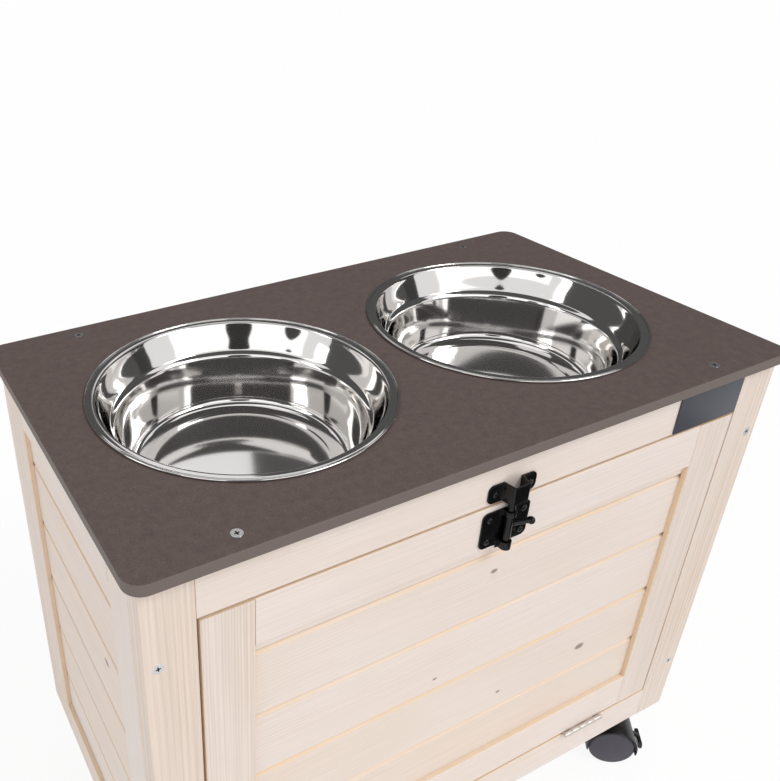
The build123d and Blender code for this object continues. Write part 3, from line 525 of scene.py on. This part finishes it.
def makePine(node, grain, face, cut, seed, firstJoint=-5000.0, pitch=10000.0):
    # a single piece of timber counts as one board far wider than itself
    material, tree, shader = startMaterial("whitewashedPine_" + node, pineLooks["roughness"])
    axes = {"X": (1, 0, 0), "Y": (0, 1, 0), "Z": (0, 0, 1)}
    depthAxis = face or "Y"
    side = ({"X", "Y", "Z"} - {grain, depthAxis}).pop()
    place = addNode(tree, "ShaderNodeTexCoord")
    wood = addNode(tree, "ShaderNodeGroup", {"node_tree": bpy.data.node_groups["whitewashedPine"]}, {
        "Place": place.outputs["Object"], "Facing": place.outputs["Normal"],
        "Grain": axes[grain], "Face": axes[depthAxis], "Side": axes[side],
        "Seed": seed * pineLooks["seedStep"], "FirstJoint": firstJoint, "Pitch": pitch,
        "Bare": 1.0 if face else 0.0, **cuts[cut]})
    if node in knots:
        inMm = addNode(tree, "ShaderNodeVectorMath", {"operation": "SCALE"},
                       {0: place.outputs["Object"], "Scale": 1 / mm})
        split = addNode(tree, "ShaderNodeSeparateXYZ", inputs=[inMm])
        core = bend = 0.0
        for along, across, radius in knots[node]:
            knot = addNode(tree, "ShaderNodeGroup", {"node_tree": bpy.data.node_groups["knot"]}, {
                "Along": split.outputs[grain], "Across": split.outputs[side],
                "KnotAlong": along, "KnotAcross": across, "Radius": radius})
            core = addNode(tree, "ShaderNodeMath", {"operation": "MAXIMUM"},
                           [core, knot.outputs["Core"]])
            bend = addNode(tree, "ShaderNodeMath", {"operation": "ADD"},
                           [bend, knot.outputs["Bend"]])
        tree.links.new(core.outputs[0], wood.inputs["KnotCore"])
        tree.links.new(bend.outputs[0], wood.inputs["KnotBend"])
    tree.links.new(wood.outputs["Color"], shader.inputs["Base Color"])
    bump = addNode(tree, "ShaderNodeBump", inputs={
        "Strength": pineLooks["grainStrength"], "Distance": pineLooks["grainDepth"] * mm,
        "Height": wood.outputs["Height"]})
    tree.links.new(bump.outputs[0], shader.inputs["Normal"])
    return material


def dressTimber():
    makeKnotGroup()
    makePineGroup()
    for seed, (node, (grain, face, cut)) in enumerate(timber.items(), 1):
        dressNode(node, makePine(node, grain, face, cut, seed))
    for seed, (node, (grain, face, drop, edge)) in enumerate(linings.items(), 40):
        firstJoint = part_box(edge)[1].z / mm - drop - jointsBelow * boardPitch
        dressNode(node, makePine(node, grain, face, "flat", seed, firstJoint, boardPitch))


# Faced fibreboard: a matt grey-brown film over pressed fibre, with fine paler flecks, and the
# plain fibre a shade lighter on the cut edge.
boardLooks = {
    "face": "#695a56",
    "faceDark": "#574a47",
    "edge": "#716560",
    "fleck": "#796b65",
    "mottle": 7.0,          # mm
    "grit": 1.2,            # mm, coarser than real so that it shows
    "fleckSpacing": 6.0,    # mm between flecks
    "depth": 0.04,          # mm
    "bump": 0.5,
    "roughness": 0.6,
    "specular": 0.3,
    "ramps": {
        # from low and high, to low and high
        "tone": (0.7, 1.3, 0.0, 1.0),
        "fleck": (0.04, 0.13, 0.6, 0.0),    # of the spacing
        "edge": (0.5, 0.9, 1.0, 0.0),
    },
}


def makeBoardFace():
    material, tree, shader = startMaterial("facedFibreboard", boardLooks["roughness"])
    shader.inputs["Specular IOR Level"].default_value = boardLooks["specular"]
    ramps = boardLooks["ramps"]
    place = addNode(tree, "ShaderNodeTexCoord")
    mottle = addNode(tree, "ShaderNodeTexNoise", inputs={
        "Vector": place.outputs["Object"], "Scale": 1 / mm / boardLooks["mottle"],
        "Detail": 4.0, "Roughness": 0.65})
    grit = addNode(tree, "ShaderNodeTexNoise", inputs={
        "Vector": place.outputs["Object"], "Scale": 1 / mm / boardLooks["grit"], "Detail": 2.0})
    both = addNode(tree, "ShaderNodeMath", {"operation": "ADD"}, [mottle, grit])
    tone = addNode(tree, "ShaderNodeMapRange", inputs=[both, *ramps["tone"]])
    base = addNode(tree, "ShaderNodeMix", {"data_type": "RGBA"}, {
        0: tone, 6: linear(boardLooks["faceDark"]), 7: linear(boardLooks["face"])})
    cells = addNode(tree, "ShaderNodeTexVoronoi", {"feature": "F1"}, {
        "Vector": place.outputs["Object"], "Scale": 1 / mm / boardLooks["fleckSpacing"],
        "Randomness": 1.0})
    speck = addNode(tree, "ShaderNodeMapRange", inputs=[cells.outputs["Distance"], *ramps["fleck"]])
    flecked = addNode(tree, "ShaderNodeMix", {"data_type": "RGBA"}, {
        0: speck, 6: base.outputs[2], 7: linear(boardLooks["fleck"])})
    upward = addNode(tree, "ShaderNodeVectorMath", {"operation": "DOT_PRODUCT"},
                     [place.outputs["Normal"], (0, 0, 1)])
    onEdge = addNode(tree, "ShaderNodeMapRange", inputs=[upward.outputs["Value"], *ramps["edge"]])
    edged = addNode(tree, "ShaderNodeMix", {"data_type": "RGBA"}, {
        0: onEdge, 6: flecked.outputs[2], 7: linear(boardLooks["edge"])})
    tree.links.new(edged.outputs[2], shader.inputs["Base Color"])
    bump = addNode(tree, "ShaderNodeBump", inputs={
        "Strength": boardLooks["bump"], "Distance": boardLooks["depth"] * mm, "Height": grit})
    tree.links.new(bump.outputs[0], shader.inputs["Normal"])
    return material


# Metals and plastics, each plain in itself, with the fine grain of its finish
coatLooks = {
    "detail": 3.0,
    "bump": 0.6,
    "pattern": (0.3, 0.7),  # low and high of the grain
    "spread": (0.8, 1.2),   # of the roughness, at the grain's low and high
}


def makeCoated(name, colour, roughness, metallic=0.0, grain=0.0, depth=0.02, specular=0.5):
    # grain is the width of the finish's texture and depth its height, in mm; with no grain the
    # surface is smooth
    material, tree, shader = startMaterial(name, roughness, metallic, colour)
    shader.inputs["Specular IOR Level"].default_value = specular
    if grain:
        place = addNode(tree, "ShaderNodeTexCoord")
        noise = addNode(tree, "ShaderNodeTexNoise", inputs={
            "Vector": place.outputs["Object"], "Scale": 1 / mm / grain, "Detail": coatLooks["detail"]})
        bump = addNode(tree, "ShaderNodeBump", inputs={
            "Strength": coatLooks["bump"], "Distance": depth * mm, "Height": noise})
        tree.links.new(bump.outputs[0], shader.inputs["Normal"])
        spread = addNode(tree, "ShaderNodeMapRange", inputs=[
            noise, *coatLooks["pattern"], *(roughness * part for part in coatLooks["spread"])])
        tree.links.new(spread.outputs[0], shader.inputs["Roughness"])
    return material


finishes = {
    # mirror-buffed stainless steel: shows the room, with the faintest softness
    "stainless": makeCoated("polishedStainless", "#dcdad8", 0.07, metallic=1.0),
    # gloss black enamel, slightly pooled: deep black with bright soft streaks
    "enamel": makeCoated("blackEnamel", "#08080a", 0.2, grain=2.5, depth=0.05, specular=0.3),
    # bright zinc plate: pale bluish metal, finely blotched
    "zinc": makeCoated("brightZinc", "#d6d6d8", 0.3, metallic=1.0, grain=0.9, depth=0.01),
    # painted shade, with a little dirt, in the depth of a screw's cross
    "recess": makeCoated("recessShadow", "#2c2a29", 0.6),
    # duller, softer zinc of the hinges
    "hinge": makeCoated("dullZinc", "#e0dad3", 0.5, metallic=1.0, grain=0.9, depth=0.01),
    # satin blue-grey metal of the bare plate
    "plate": makeCoated("satinPlate", "#4a4c55", 0.4, metallic=0.3, grain=0.6, depth=0.01,
                        specular=0.3),
    # moulded nylon, near black, with a fine spark-eroded grain
    "hood": makeCoated("mouldedNylonBlack", "#19181b", 0.38, grain=0.5, depth=0.03, specular=0.35),
    # grey moulded wheel with a smooth satin face
    "wheel": makeCoated("mouldedNylonGrey", "#423f4a", 0.35, grain=0.8, depth=0.01, specular=0.4),
}


# Pressed bowls: one sheet drawn over a shoulder and a waist into a flat-bottomed pan, its flange
# rolled into a bead
bowlLooks = {
    "segments": 144,
    "sheet": 0.8,           # mm
    "bead": 1.0,            # mm
    "beadSegments": 14,
    "shapes": [             # (radius, height above the board) in mm, from the flange inwards
        (123.2, 1.5), (120.5, 1.5),                                                    # flange
        (117.6, 1.45), (116.8, 1.25), (116.2, 0.5), (115.6, -1.2), (114.9, -3.5),      # turned down
        (112.6, -9.0), (109.4, -15.0), (106.9, -20.0),                                 # upper wall
        (106.1, -21.8), (105.2, -22.6), (103.5, -24.4), (102.6, -25.4),                # shoulder
        (102.1, -27.0), (100.6, -34.0), (98.4, -44.5), (95.9, -57.0), (94.7, -63.0),   # lower wall
        (94.1, -65.8), (93.0, -68.6), (91.0, -70.8), (88.0, -71.9), (84.5, -72.0),     # heel
        (79.5, -72.0), (77.0, -71.7), (75.0, -71.2), (72.5, -71.0),                    # foot ring
        (45.0, -71.0), (15.0, -71.0),                                                  # bottom
    ],
}


def makeBowl(side):
    node = "bowl_" + side
    low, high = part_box(node)
    centre = (low + high) / 2
    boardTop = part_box("top_board")[1].z / mm
    rings = [(radius, boardTop + height) for radius, height in bowlLooks["shapes"]]
    firstRadius, firstHeight = rings[0]
    bowl = newPiece("bowlShell_" + side, bpy.ops.mesh.primitive_circle_add,
                    vertices=bowlLooks["segments"], radius=firstRadius * mm, fill_type="NOTHING",
                    location=(centre.x, centre.y, firstHeight * mm))
    bpy.ops.mesh.select_all(action="SELECT")
    traceRings(rings, centre)
    bpy.ops.mesh.merge(type="CENTER")
    bpy.ops.object.mode_set(mode="OBJECT")
    mergeMesh(bowl)
    useModifier(bowl, "SOLIDIFY", thickness=bowlLooks["sheet"] * mm, offset=-1)
    useModifier(bowl, "SUBSURF", levels=1, render_levels=1)
    bead = bowlLooks["bead"]
    rim = newPiece("bead", bpy.ops.mesh.primitive_torus_add,
                   location=(centre.x, centre.y, high.z - bead * mm),
                   major_segments=bowlLooks["segments"], minor_segments=bowlLooks["beadSegments"],
                   major_radius=(high.x - low.x) / 2 - bead * mm, minor_radius=bead * mm)
    bpy.ops.object.mode_set(mode="OBJECT")
    whole = joinAll([bowl, rim], "bowlShell_" + side)
    smooth(whole, crease=60)
    dress(whole, finishes["stainless"])
    hand(whole, "stainless", node)


# Screws: turned heads with a pressed cross, one for each screw of the CAD part
screwLooks = {
    "segments": 32,
    # (across, down) of a domed head's radius and height, and of a sunk head's radius and mm
    "dome": [(0.25, 0.0), (0.6, 0.12), (0.88, 0.4), (1.0, 0.8), (1.0, 1.0)],
    "sunk": [(0.985, 0.0), (1.0, 0.06), (0.97, 0.3)],
    "point": (0.9, 0.2),    # of the length, where the point starts, and of the shank, how blunt it is
    "crossLength": 0.62,    # of the head's width
    "crossWidth": 0.17,
    "crossDepth": 0.45,     # of the head's radius
    "crossTaper": 0.45,     # of its size, what is left at its bottom
    "endZone": 1.2,         # mm, how much of a CAD screw's end tells head from point
    "turns": (23, 37),      # degrees, the first cross and the step to each next one
}


def makeScrewForm(name, headRadius, shankRadius, length, headHeight, domed):
    # the head's top lies at height 0 for a sunk head; a domed head rises to 0 from its seat
    if domed:
        rings = [(headRadius * across, -headHeight * down) for across, down in screwLooks["dome"]]
        seat = headHeight
    else:
        rings = [(headRadius * across, -down) for across, down in screwLooks["sunk"]]
        seat = screwLooks["sunk"][-1][1] + headRadius - shankRadius
    pointStart, blunt = screwLooks["point"]
    rings += [(shankRadius, -seat), (shankRadius, -length * pointStart), (shankRadius * blunt, -length)]
    screw = lathe(name, rings, screwLooks["segments"])
    crossReach = headRadius * screwLooks["crossLength"]
    cross = [2 * headRadius * screwLooks[key] * mm for key in ("crossLength", "crossWidth", "crossDepth")]
    for turn in (0, 90):
        cutter = newPiece("cutter", bpy.ops.mesh.primitive_cube_add, size=1,
                          rotation=(0, 0, math.radians(turn)), scale=cross)
        # its lower end is drawn in
        pickFaces(lambda f: f.normal.z < -0.9)
        bpy.ops.transform.resize(value=(screwLooks["crossTaper"], screwLooks["crossTaper"], 1))
        bpy.ops.object.mode_set(mode="OBJECT")
        useModifier(screw, "BOOLEAN", operation="DIFFERENCE", object=cutter, solver="EXACT")
        bpy.data.objects.remove(cutter)
    # the second material paints shade, with a little dirt, into the walls and floor of the cross
    dress(screw, finishes["zinc"], finishes["recess"])
    for face in screw.data.polygons:
        # the walls and floor of the cross lie within its arms and below the head's top
        inArms = face.center.xy.length < crossReach * 1.1 * mm
        belowTop = -2 * headRadius * mm < face.center.z < -0.12 * headRadius * mm
        if inArms and belowTop and face.normal.z > -0.5:
            face.material_index = 1
    smooth(screw, crease=40)
    return screw


def readScrew(points):
    # where a CAD screw's head lies, which way it points and how big it is
    low = Vector(min(p[i] for p in points) for i in range(3))
    high = Vector(max(p[i] for p in points) for i in range(3))
    size = high - low
    axis = max(range(3), key=lambda i: size[i])
    centre = (low + high) / 2
    across = (axis + 1) % 3
    ends = {}
    for sign, level in ((-1, low[axis]), (1, high[axis])):
        ends[sign] = max(abs(p[across] - centre[across]) for p in points
                         if abs(p[axis] - level) < screwLooks["endZone"] * mm)
    way = max(ends, key=ends.get)
    head = centre.copy()
    head[axis] = high[axis] if way > 0 else low[axis]
    outward = Vector((0, 0, 0))
    outward[axis] = way
    return head, outward, size[across] / 2, size[axis]


def makeScrews(node, kinds):
    # kinds, by the axis the screws lie along: (name, shank radius, head height, domed, finish, slot)
    made = {}
    forms = {}
    firstTurn, nextTurn = screwLooks["turns"]
    for points in solids(node):
        head, outward, radius, length = readScrew(points)
        name, shank, headHeight, domed = kinds["Z" if abs(outward.z) > 0.5 else "Y"][:4]
        if name not in forms:
            forms[name] = makeScrewForm(name + "Form", radius / mm, shank, length / mm, headHeight, domed)
        upright = Vector((0, 0, 1)).rotation_difference(outward).to_matrix().to_4x4()
        count = len(made.get(name, []))
        spin = Matrix.Rotation(math.radians(firstTurn + nextTurn * count), 4, "Z")
        copied = placedCopy(forms[name], name, Matrix.Translation(head) @ upright @ spin)
        made.setdefault(name, []).append(copied)
    for name, *_, finish, slot in kinds.values():
        if name in made:
            joined = joinAll(made[name], name)
            joined.data.materials[0] = finishes[finish]
            hand(joined, slot, node)
            bpy.data.objects.remove(forms[name])


def makeAllScrews():
    sunk = (1.9, 0, False, "zinc", "screw_steel")
    makeScrews("body_screws", {"Z": ("boardScrews", *sunk), "Y": ("postScrews", *sunk)})
    for side in ("cabinet", "door"):
        makeScrews(side + "_hardware_screws", {
            "Y": (side + "LatchScrews", 1.4, 1.3, True, "enamel", "black_enamel"),
            "Z": (side + "HingeScrews", 1.2, 0, False, "zinc", "screw_steel")})
    makeScrews("caster_screws", {"Z": ("casterScrews", 1.9, 1.8, True, "zinc", "screw_steel")})


# Fittings: the CAD part's forms with their edges softened
softened = {
    # node: edge radius in mm, finish, slot
    "latch_plate": (0.35, "enamel", "black_enamel"),
    "latch_keeper": (0.35, "enamel", "black_enamel"),
    "latch_bolt": (0.25, "enamel", "black_enamel"),
    "latch_knob": (0.4, "enamel", "black_enamel"),
    "hinge_frame_halves": (0.18, "hinge", "hinge_steel"),
    "hinge_door_leaves": (0.18, "hinge", "hinge_steel"),
    "name_plate": (0.3, "plate", "plate_grey"),
    "brake_lever_front_left": (0.7, "hood", "caster_hood"),
    "brake_lever_front_right": (0.7, "hood", "caster_hood"),
}
casterEdges = {"hood": 0.4, "wheel": 1.4, "wheelSegments": 4}   # mm
corners = ("front_left", "front_right", "back_left", "back_right")


def makeFittings():
    for node, (width, finish, slot) in softened.items():
        piece = softCopy(node, node.replace("_", "-"), width)
        dress(piece, finishes[finish])
        hand(piece, slot, node)
    for corner in corners:
        piece = softCopy("hood_" + corner, "hood-" + corner, casterEdges["hood"])
        dress(piece, finishes["hood"])
        hand(piece, "caster_hood", "hood_" + corner)
        for half in "ab":
            node = "wheel_" + corner + "_" + half
            piece = softCopy(node, "wheel-" + corner + "-" + half, casterEdges["wheel"],
                             casterEdges["wheelSegments"])
            dress(piece, finishes["wheel"])
            hand(piece, "caster_wheel", node)
        dressNode("axle_" + corner, finishes["zinc"])
    dressNode("caster_plates", finishes["zinc"])
    dressNode("swivel_pins", finishes["zinc"])


# Stage: pale floor, soft light, camera
cameraPlace = {
    "location": (-406.4, -516.8, 843.2),    # mm
    "azimuth": -26.40,
    "elevation": 29.64,
    "roll": -1.22,
    "focalPixels": 847.4,
    "imageSize": (780, 781),
    "opticalCentre": (226.4, 373.7),        # px
    "sensor": 36,                           # mm
    "clip": (0.01, 100),                    # m
}


def makeCamera():
    data = bpy.data.cameras.new("camera")
    camera = bpy.data.objects.new("camera", data)
    bpy.context.scene.collection.objects.link(camera)
    width, height = cameraPlace["imageSize"]
    longSide = max(width, height)
    data.sensor_width = cameraPlace["sensor"]
    data.lens = cameraPlace["focalPixels"] * data.sensor_width / longSide
    data.shift_x = (width / 2 - cameraPlace["opticalCentre"][0]) / longSide
    data.shift_y = (cameraPlace["opticalCentre"][1] - height / 2) / longSide
    data.clip_start, data.clip_end = cameraPlace["clip"]
    azimuth, elevation, turn = (math.radians(cameraPlace[k]) for k in ("azimuth", "elevation", "roll"))
    back = Vector((math.sin(azimuth) * math.cos(elevation), -math.cos(azimuth) * math.cos(elevation),
                   math.sin(elevation)))
    right = Vector((0, 0, 1)).cross(back).normalized()
    up = back.cross(right)
    rightRolled = right * math.cos(turn) + up * math.sin(turn)
    upRolled = up * math.cos(turn) - right * math.sin(turn)
    camera.matrix_world = Matrix.Translation([v * mm for v in cameraPlace["location"]]) @ Matrix(
        (rightRolled, upRolled, back)).transposed().to_4x4()
    bpy.context.scene.camera = camera


stageLooks = {
    "white": "#ffffff",     # floor, world and what a card gives off
    "cardFace": "#000000",
    "floorSize": 40,        # m
    "floorRoughness": 0.9,
    "floorGlow": 0.9,
    "world": 0.58,
    "wallSegments": 72,
    "ovalSegments": 48,
}
lampLooks = {
    # soft and wide: where the light comes from in m, its spread in degrees and its strength
    "keyLight": {"place": (0.5, -0.9, 1.2), "target": (0, 0, 0), "spread": 30, "strength": 1.15},
    "fillLight": {"place": (-1.0, -0.5, 0.9), "target": (0, 0, 0), "spread": 60, "strength": 0.36},
}
cardLooks = {
    # what polished surfaces show of the studio: kind, place, target and size in m, and light
    "darkWall": {
        "kind": "wall", "place": (0, 0, 1.35), "radius": 2.2, "height": 1.9, "from": -75, "to": 125,
        "glow": 0.09},
    "brightScreen": {
        "kind": "wall", "place": (0, 0, 0.95), "radius": 2.0, "height": 1.3, "from": 150, "to": 265,
        "glow": 1.5},
    "backPanel": {
        "kind": "panel", "place": (0.6, 1.8, 1.9), "target": (0, 0, 0.45), "size": (0.45, 0.4),
        "glow": 1.0},
    "topPanel": {
        "kind": "panel", "place": (0.1, 0.55, 2.7), "target": (0.1, 0.55, 0), "size": (2.0, 1.0),
        "glow": 1.2},
    "floorFlag": {
        "kind": "panel", "place": (0.53, -0.8, 0.012), "target": (0.53, -0.8, -1), "size": (0.7, 1.0),
        "glow": 0.04},
    "ceiling": {
        "kind": "oval", "place": (0, 0.1, 2.9), "target": (0, 0, 0), "size": (4.2, 4.2), "glow": 0.09},
    "figure": {
        "kind": "oval", "place": (-0.6, -0.95, 0.75), "target": (0, 0, 0.5), "size": (0.42, 0.95),
        "glow": 0.03},
    "leftFlag": {
        "kind": "oval", "place": (-1.5, -0.45, 0.7), "target": (0, 0, 0.5), "size": (0.35, 0.8),
        "glow": 0.05},
    "rightFlag": {
        "kind": "oval", "place": (1.4, -0.75, 0.7), "target": (0, 0, 0.5), "size": (0.4, 0.8),
        "glow": 0.05},
    "keySoftbox": {
        "kind": "panel", "place": (0.9, -1.4, 1.9), "target": (0, 0, 0.4), "size": (0.9, 0.6),
        "glow": 9.0},
    "sideSoftbox": {
        "kind": "panel", "place": (-1.5, 0.3, 1.3), "target": (0, 0, 0.5), "size": (0.3, 0.9),
        "glow": 3.0},
}


def aim(spec):
    # turns -Z to the target with Y kept upwards
    place = Vector(spec["place"])
    turn = (Vector(spec["target"]) - place).to_track_quat("-Z", "Y")
    return Matrix.Translation(place) @ turn.to_matrix().to_4x4()


def makeCard(name, spec):
    if spec["kind"] == "wall":
        # part of an upright drum, between two bearings from the back, clockwise in degrees
        card = newPiece(name, bpy.ops.mesh.primitive_cylinder_add, vertices=stageLooks["wallSegments"],
                        radius=spec["radius"], depth=spec["height"], end_fill_type="NOTHING",
                        location=spec["place"])
        middle = math.radians((spec["from"] + spec["to"]) / 2)
        reach = math.radians((spec["to"] - spec["from"]) / 2)
        bearing = Vector((math.sin(middle), math.cos(middle), 0))
        pickFaces(lambda f: f.normal.angle(bearing) > reach)
        bpy.ops.mesh.delete(type="FACE")
        bpy.ops.object.mode_set(mode="OBJECT")
    else:
        # a circle or a square one metre across, stretched to its size
        sides = stageLooks["ovalSegments"] if spec["kind"] == "oval" else 4
        card = newPiece(name, bpy.ops.mesh.primitive_circle_add, vertices=sides, fill_type="NGON",
                        radius=0.5 if sides > 4 else math.sqrt(0.5), rotation=(0, 0, math.pi / sides))
        bpy.ops.object.mode_set(mode="OBJECT")
        card.data.transform(aim(spec) @ Matrix.Diagonal((*spec["size"], 1, 1)))
    card.visible_camera = card.visible_diffuse = card.visible_shadow = False
    material, tree, shader = startMaterial(name, 1.0, colour=stageLooks["cardFace"])
    shader.inputs["Emission Color"].default_value = linear(stageLooks["white"])
    shader.inputs["Emission Strength"].default_value = spec["glow"]
    dress(card, material)


def seenDirectly(tree):
    # 1 for what the camera, a mirror or a clear body sees, 0 for what only lights the object
    path = addNode(tree, "ShaderNodeLightPath")
    shown = path.outputs["Is Camera Ray"]
    for ray in ("Is Glossy Ray", "Is Transmission Ray"):
        shown = addNode(tree, "ShaderNodeMath", {"operation": "MAXIMUM"}, [shown, path.outputs[ray]])
    return shown


def makeStage():
    scene = bpy.context.scene
    scene.view_settings.view_transform = "Standard"
    world = bpy.data.worlds.new("studio")
    scene.world = world
    world.use_nodes = True
    tree = world.node_tree
    tree.nodes.clear()
    level = addNode(tree, "ShaderNodeMapRange", inputs={
        0: seenDirectly(tree), 3: stageLooks["world"], 4: 1.0})
    sky = addNode(tree, "ShaderNodeBackground", inputs={
        "Color": linear(stageLooks["white"]), "Strength": level})
    addNode(tree, "ShaderNodeOutputWorld", inputs={"Surface": sky})

    for name, spec in lampLooks.items():
        lamp = bpy.data.lights.new(name, "SUN")
        lamp.energy = spec["strength"]
        lamp.angle = math.radians(spec["spread"])
        light = bpy.data.objects.new(name, lamp)
        light.matrix_world = aim(spec)
        light.visible_glossy = False
        scene.collection.objects.link(light)

    floor = newPiece("floor", bpy.ops.mesh.primitive_plane_add, size=stageLooks["floorSize"])
    bpy.ops.object.mode_set(mode="OBJECT")
    material, tree, shader = startMaterial("paperFloor", stageLooks["floorRoughness"],
                                           colour=stageLooks["white"])
    share = addNode(tree, "ShaderNodeMath", {"operation": "MULTIPLY"},
                    [seenDirectly(tree), stageLooks["floorGlow"]])
    glow = addNode(tree, "ShaderNodeEmission", inputs={
        "Color": linear(stageLooks["white"]), "Strength": 1.0})
    mixed = addNode(tree, "ShaderNodeMixShader", inputs=[share, shader, glow])
    tree.links.new(mixed.outputs[0], tree.nodes["Material Output"].inputs["Surface"])
    dress(floor, material)

    for name, spec in cardLooks.items():
        makeCard(name, spec)


makeCamera()
makeStage()
print("camera and stage made")
dressTimber()
dressNode("top_board", makeBoardFace())
print("timber and board dressed")
for side in ("left", "right"):
    makeBowl(side)
print("bowls made")
makeAllScrews()
print("screws made")
makeFittings()
print("fittings made")
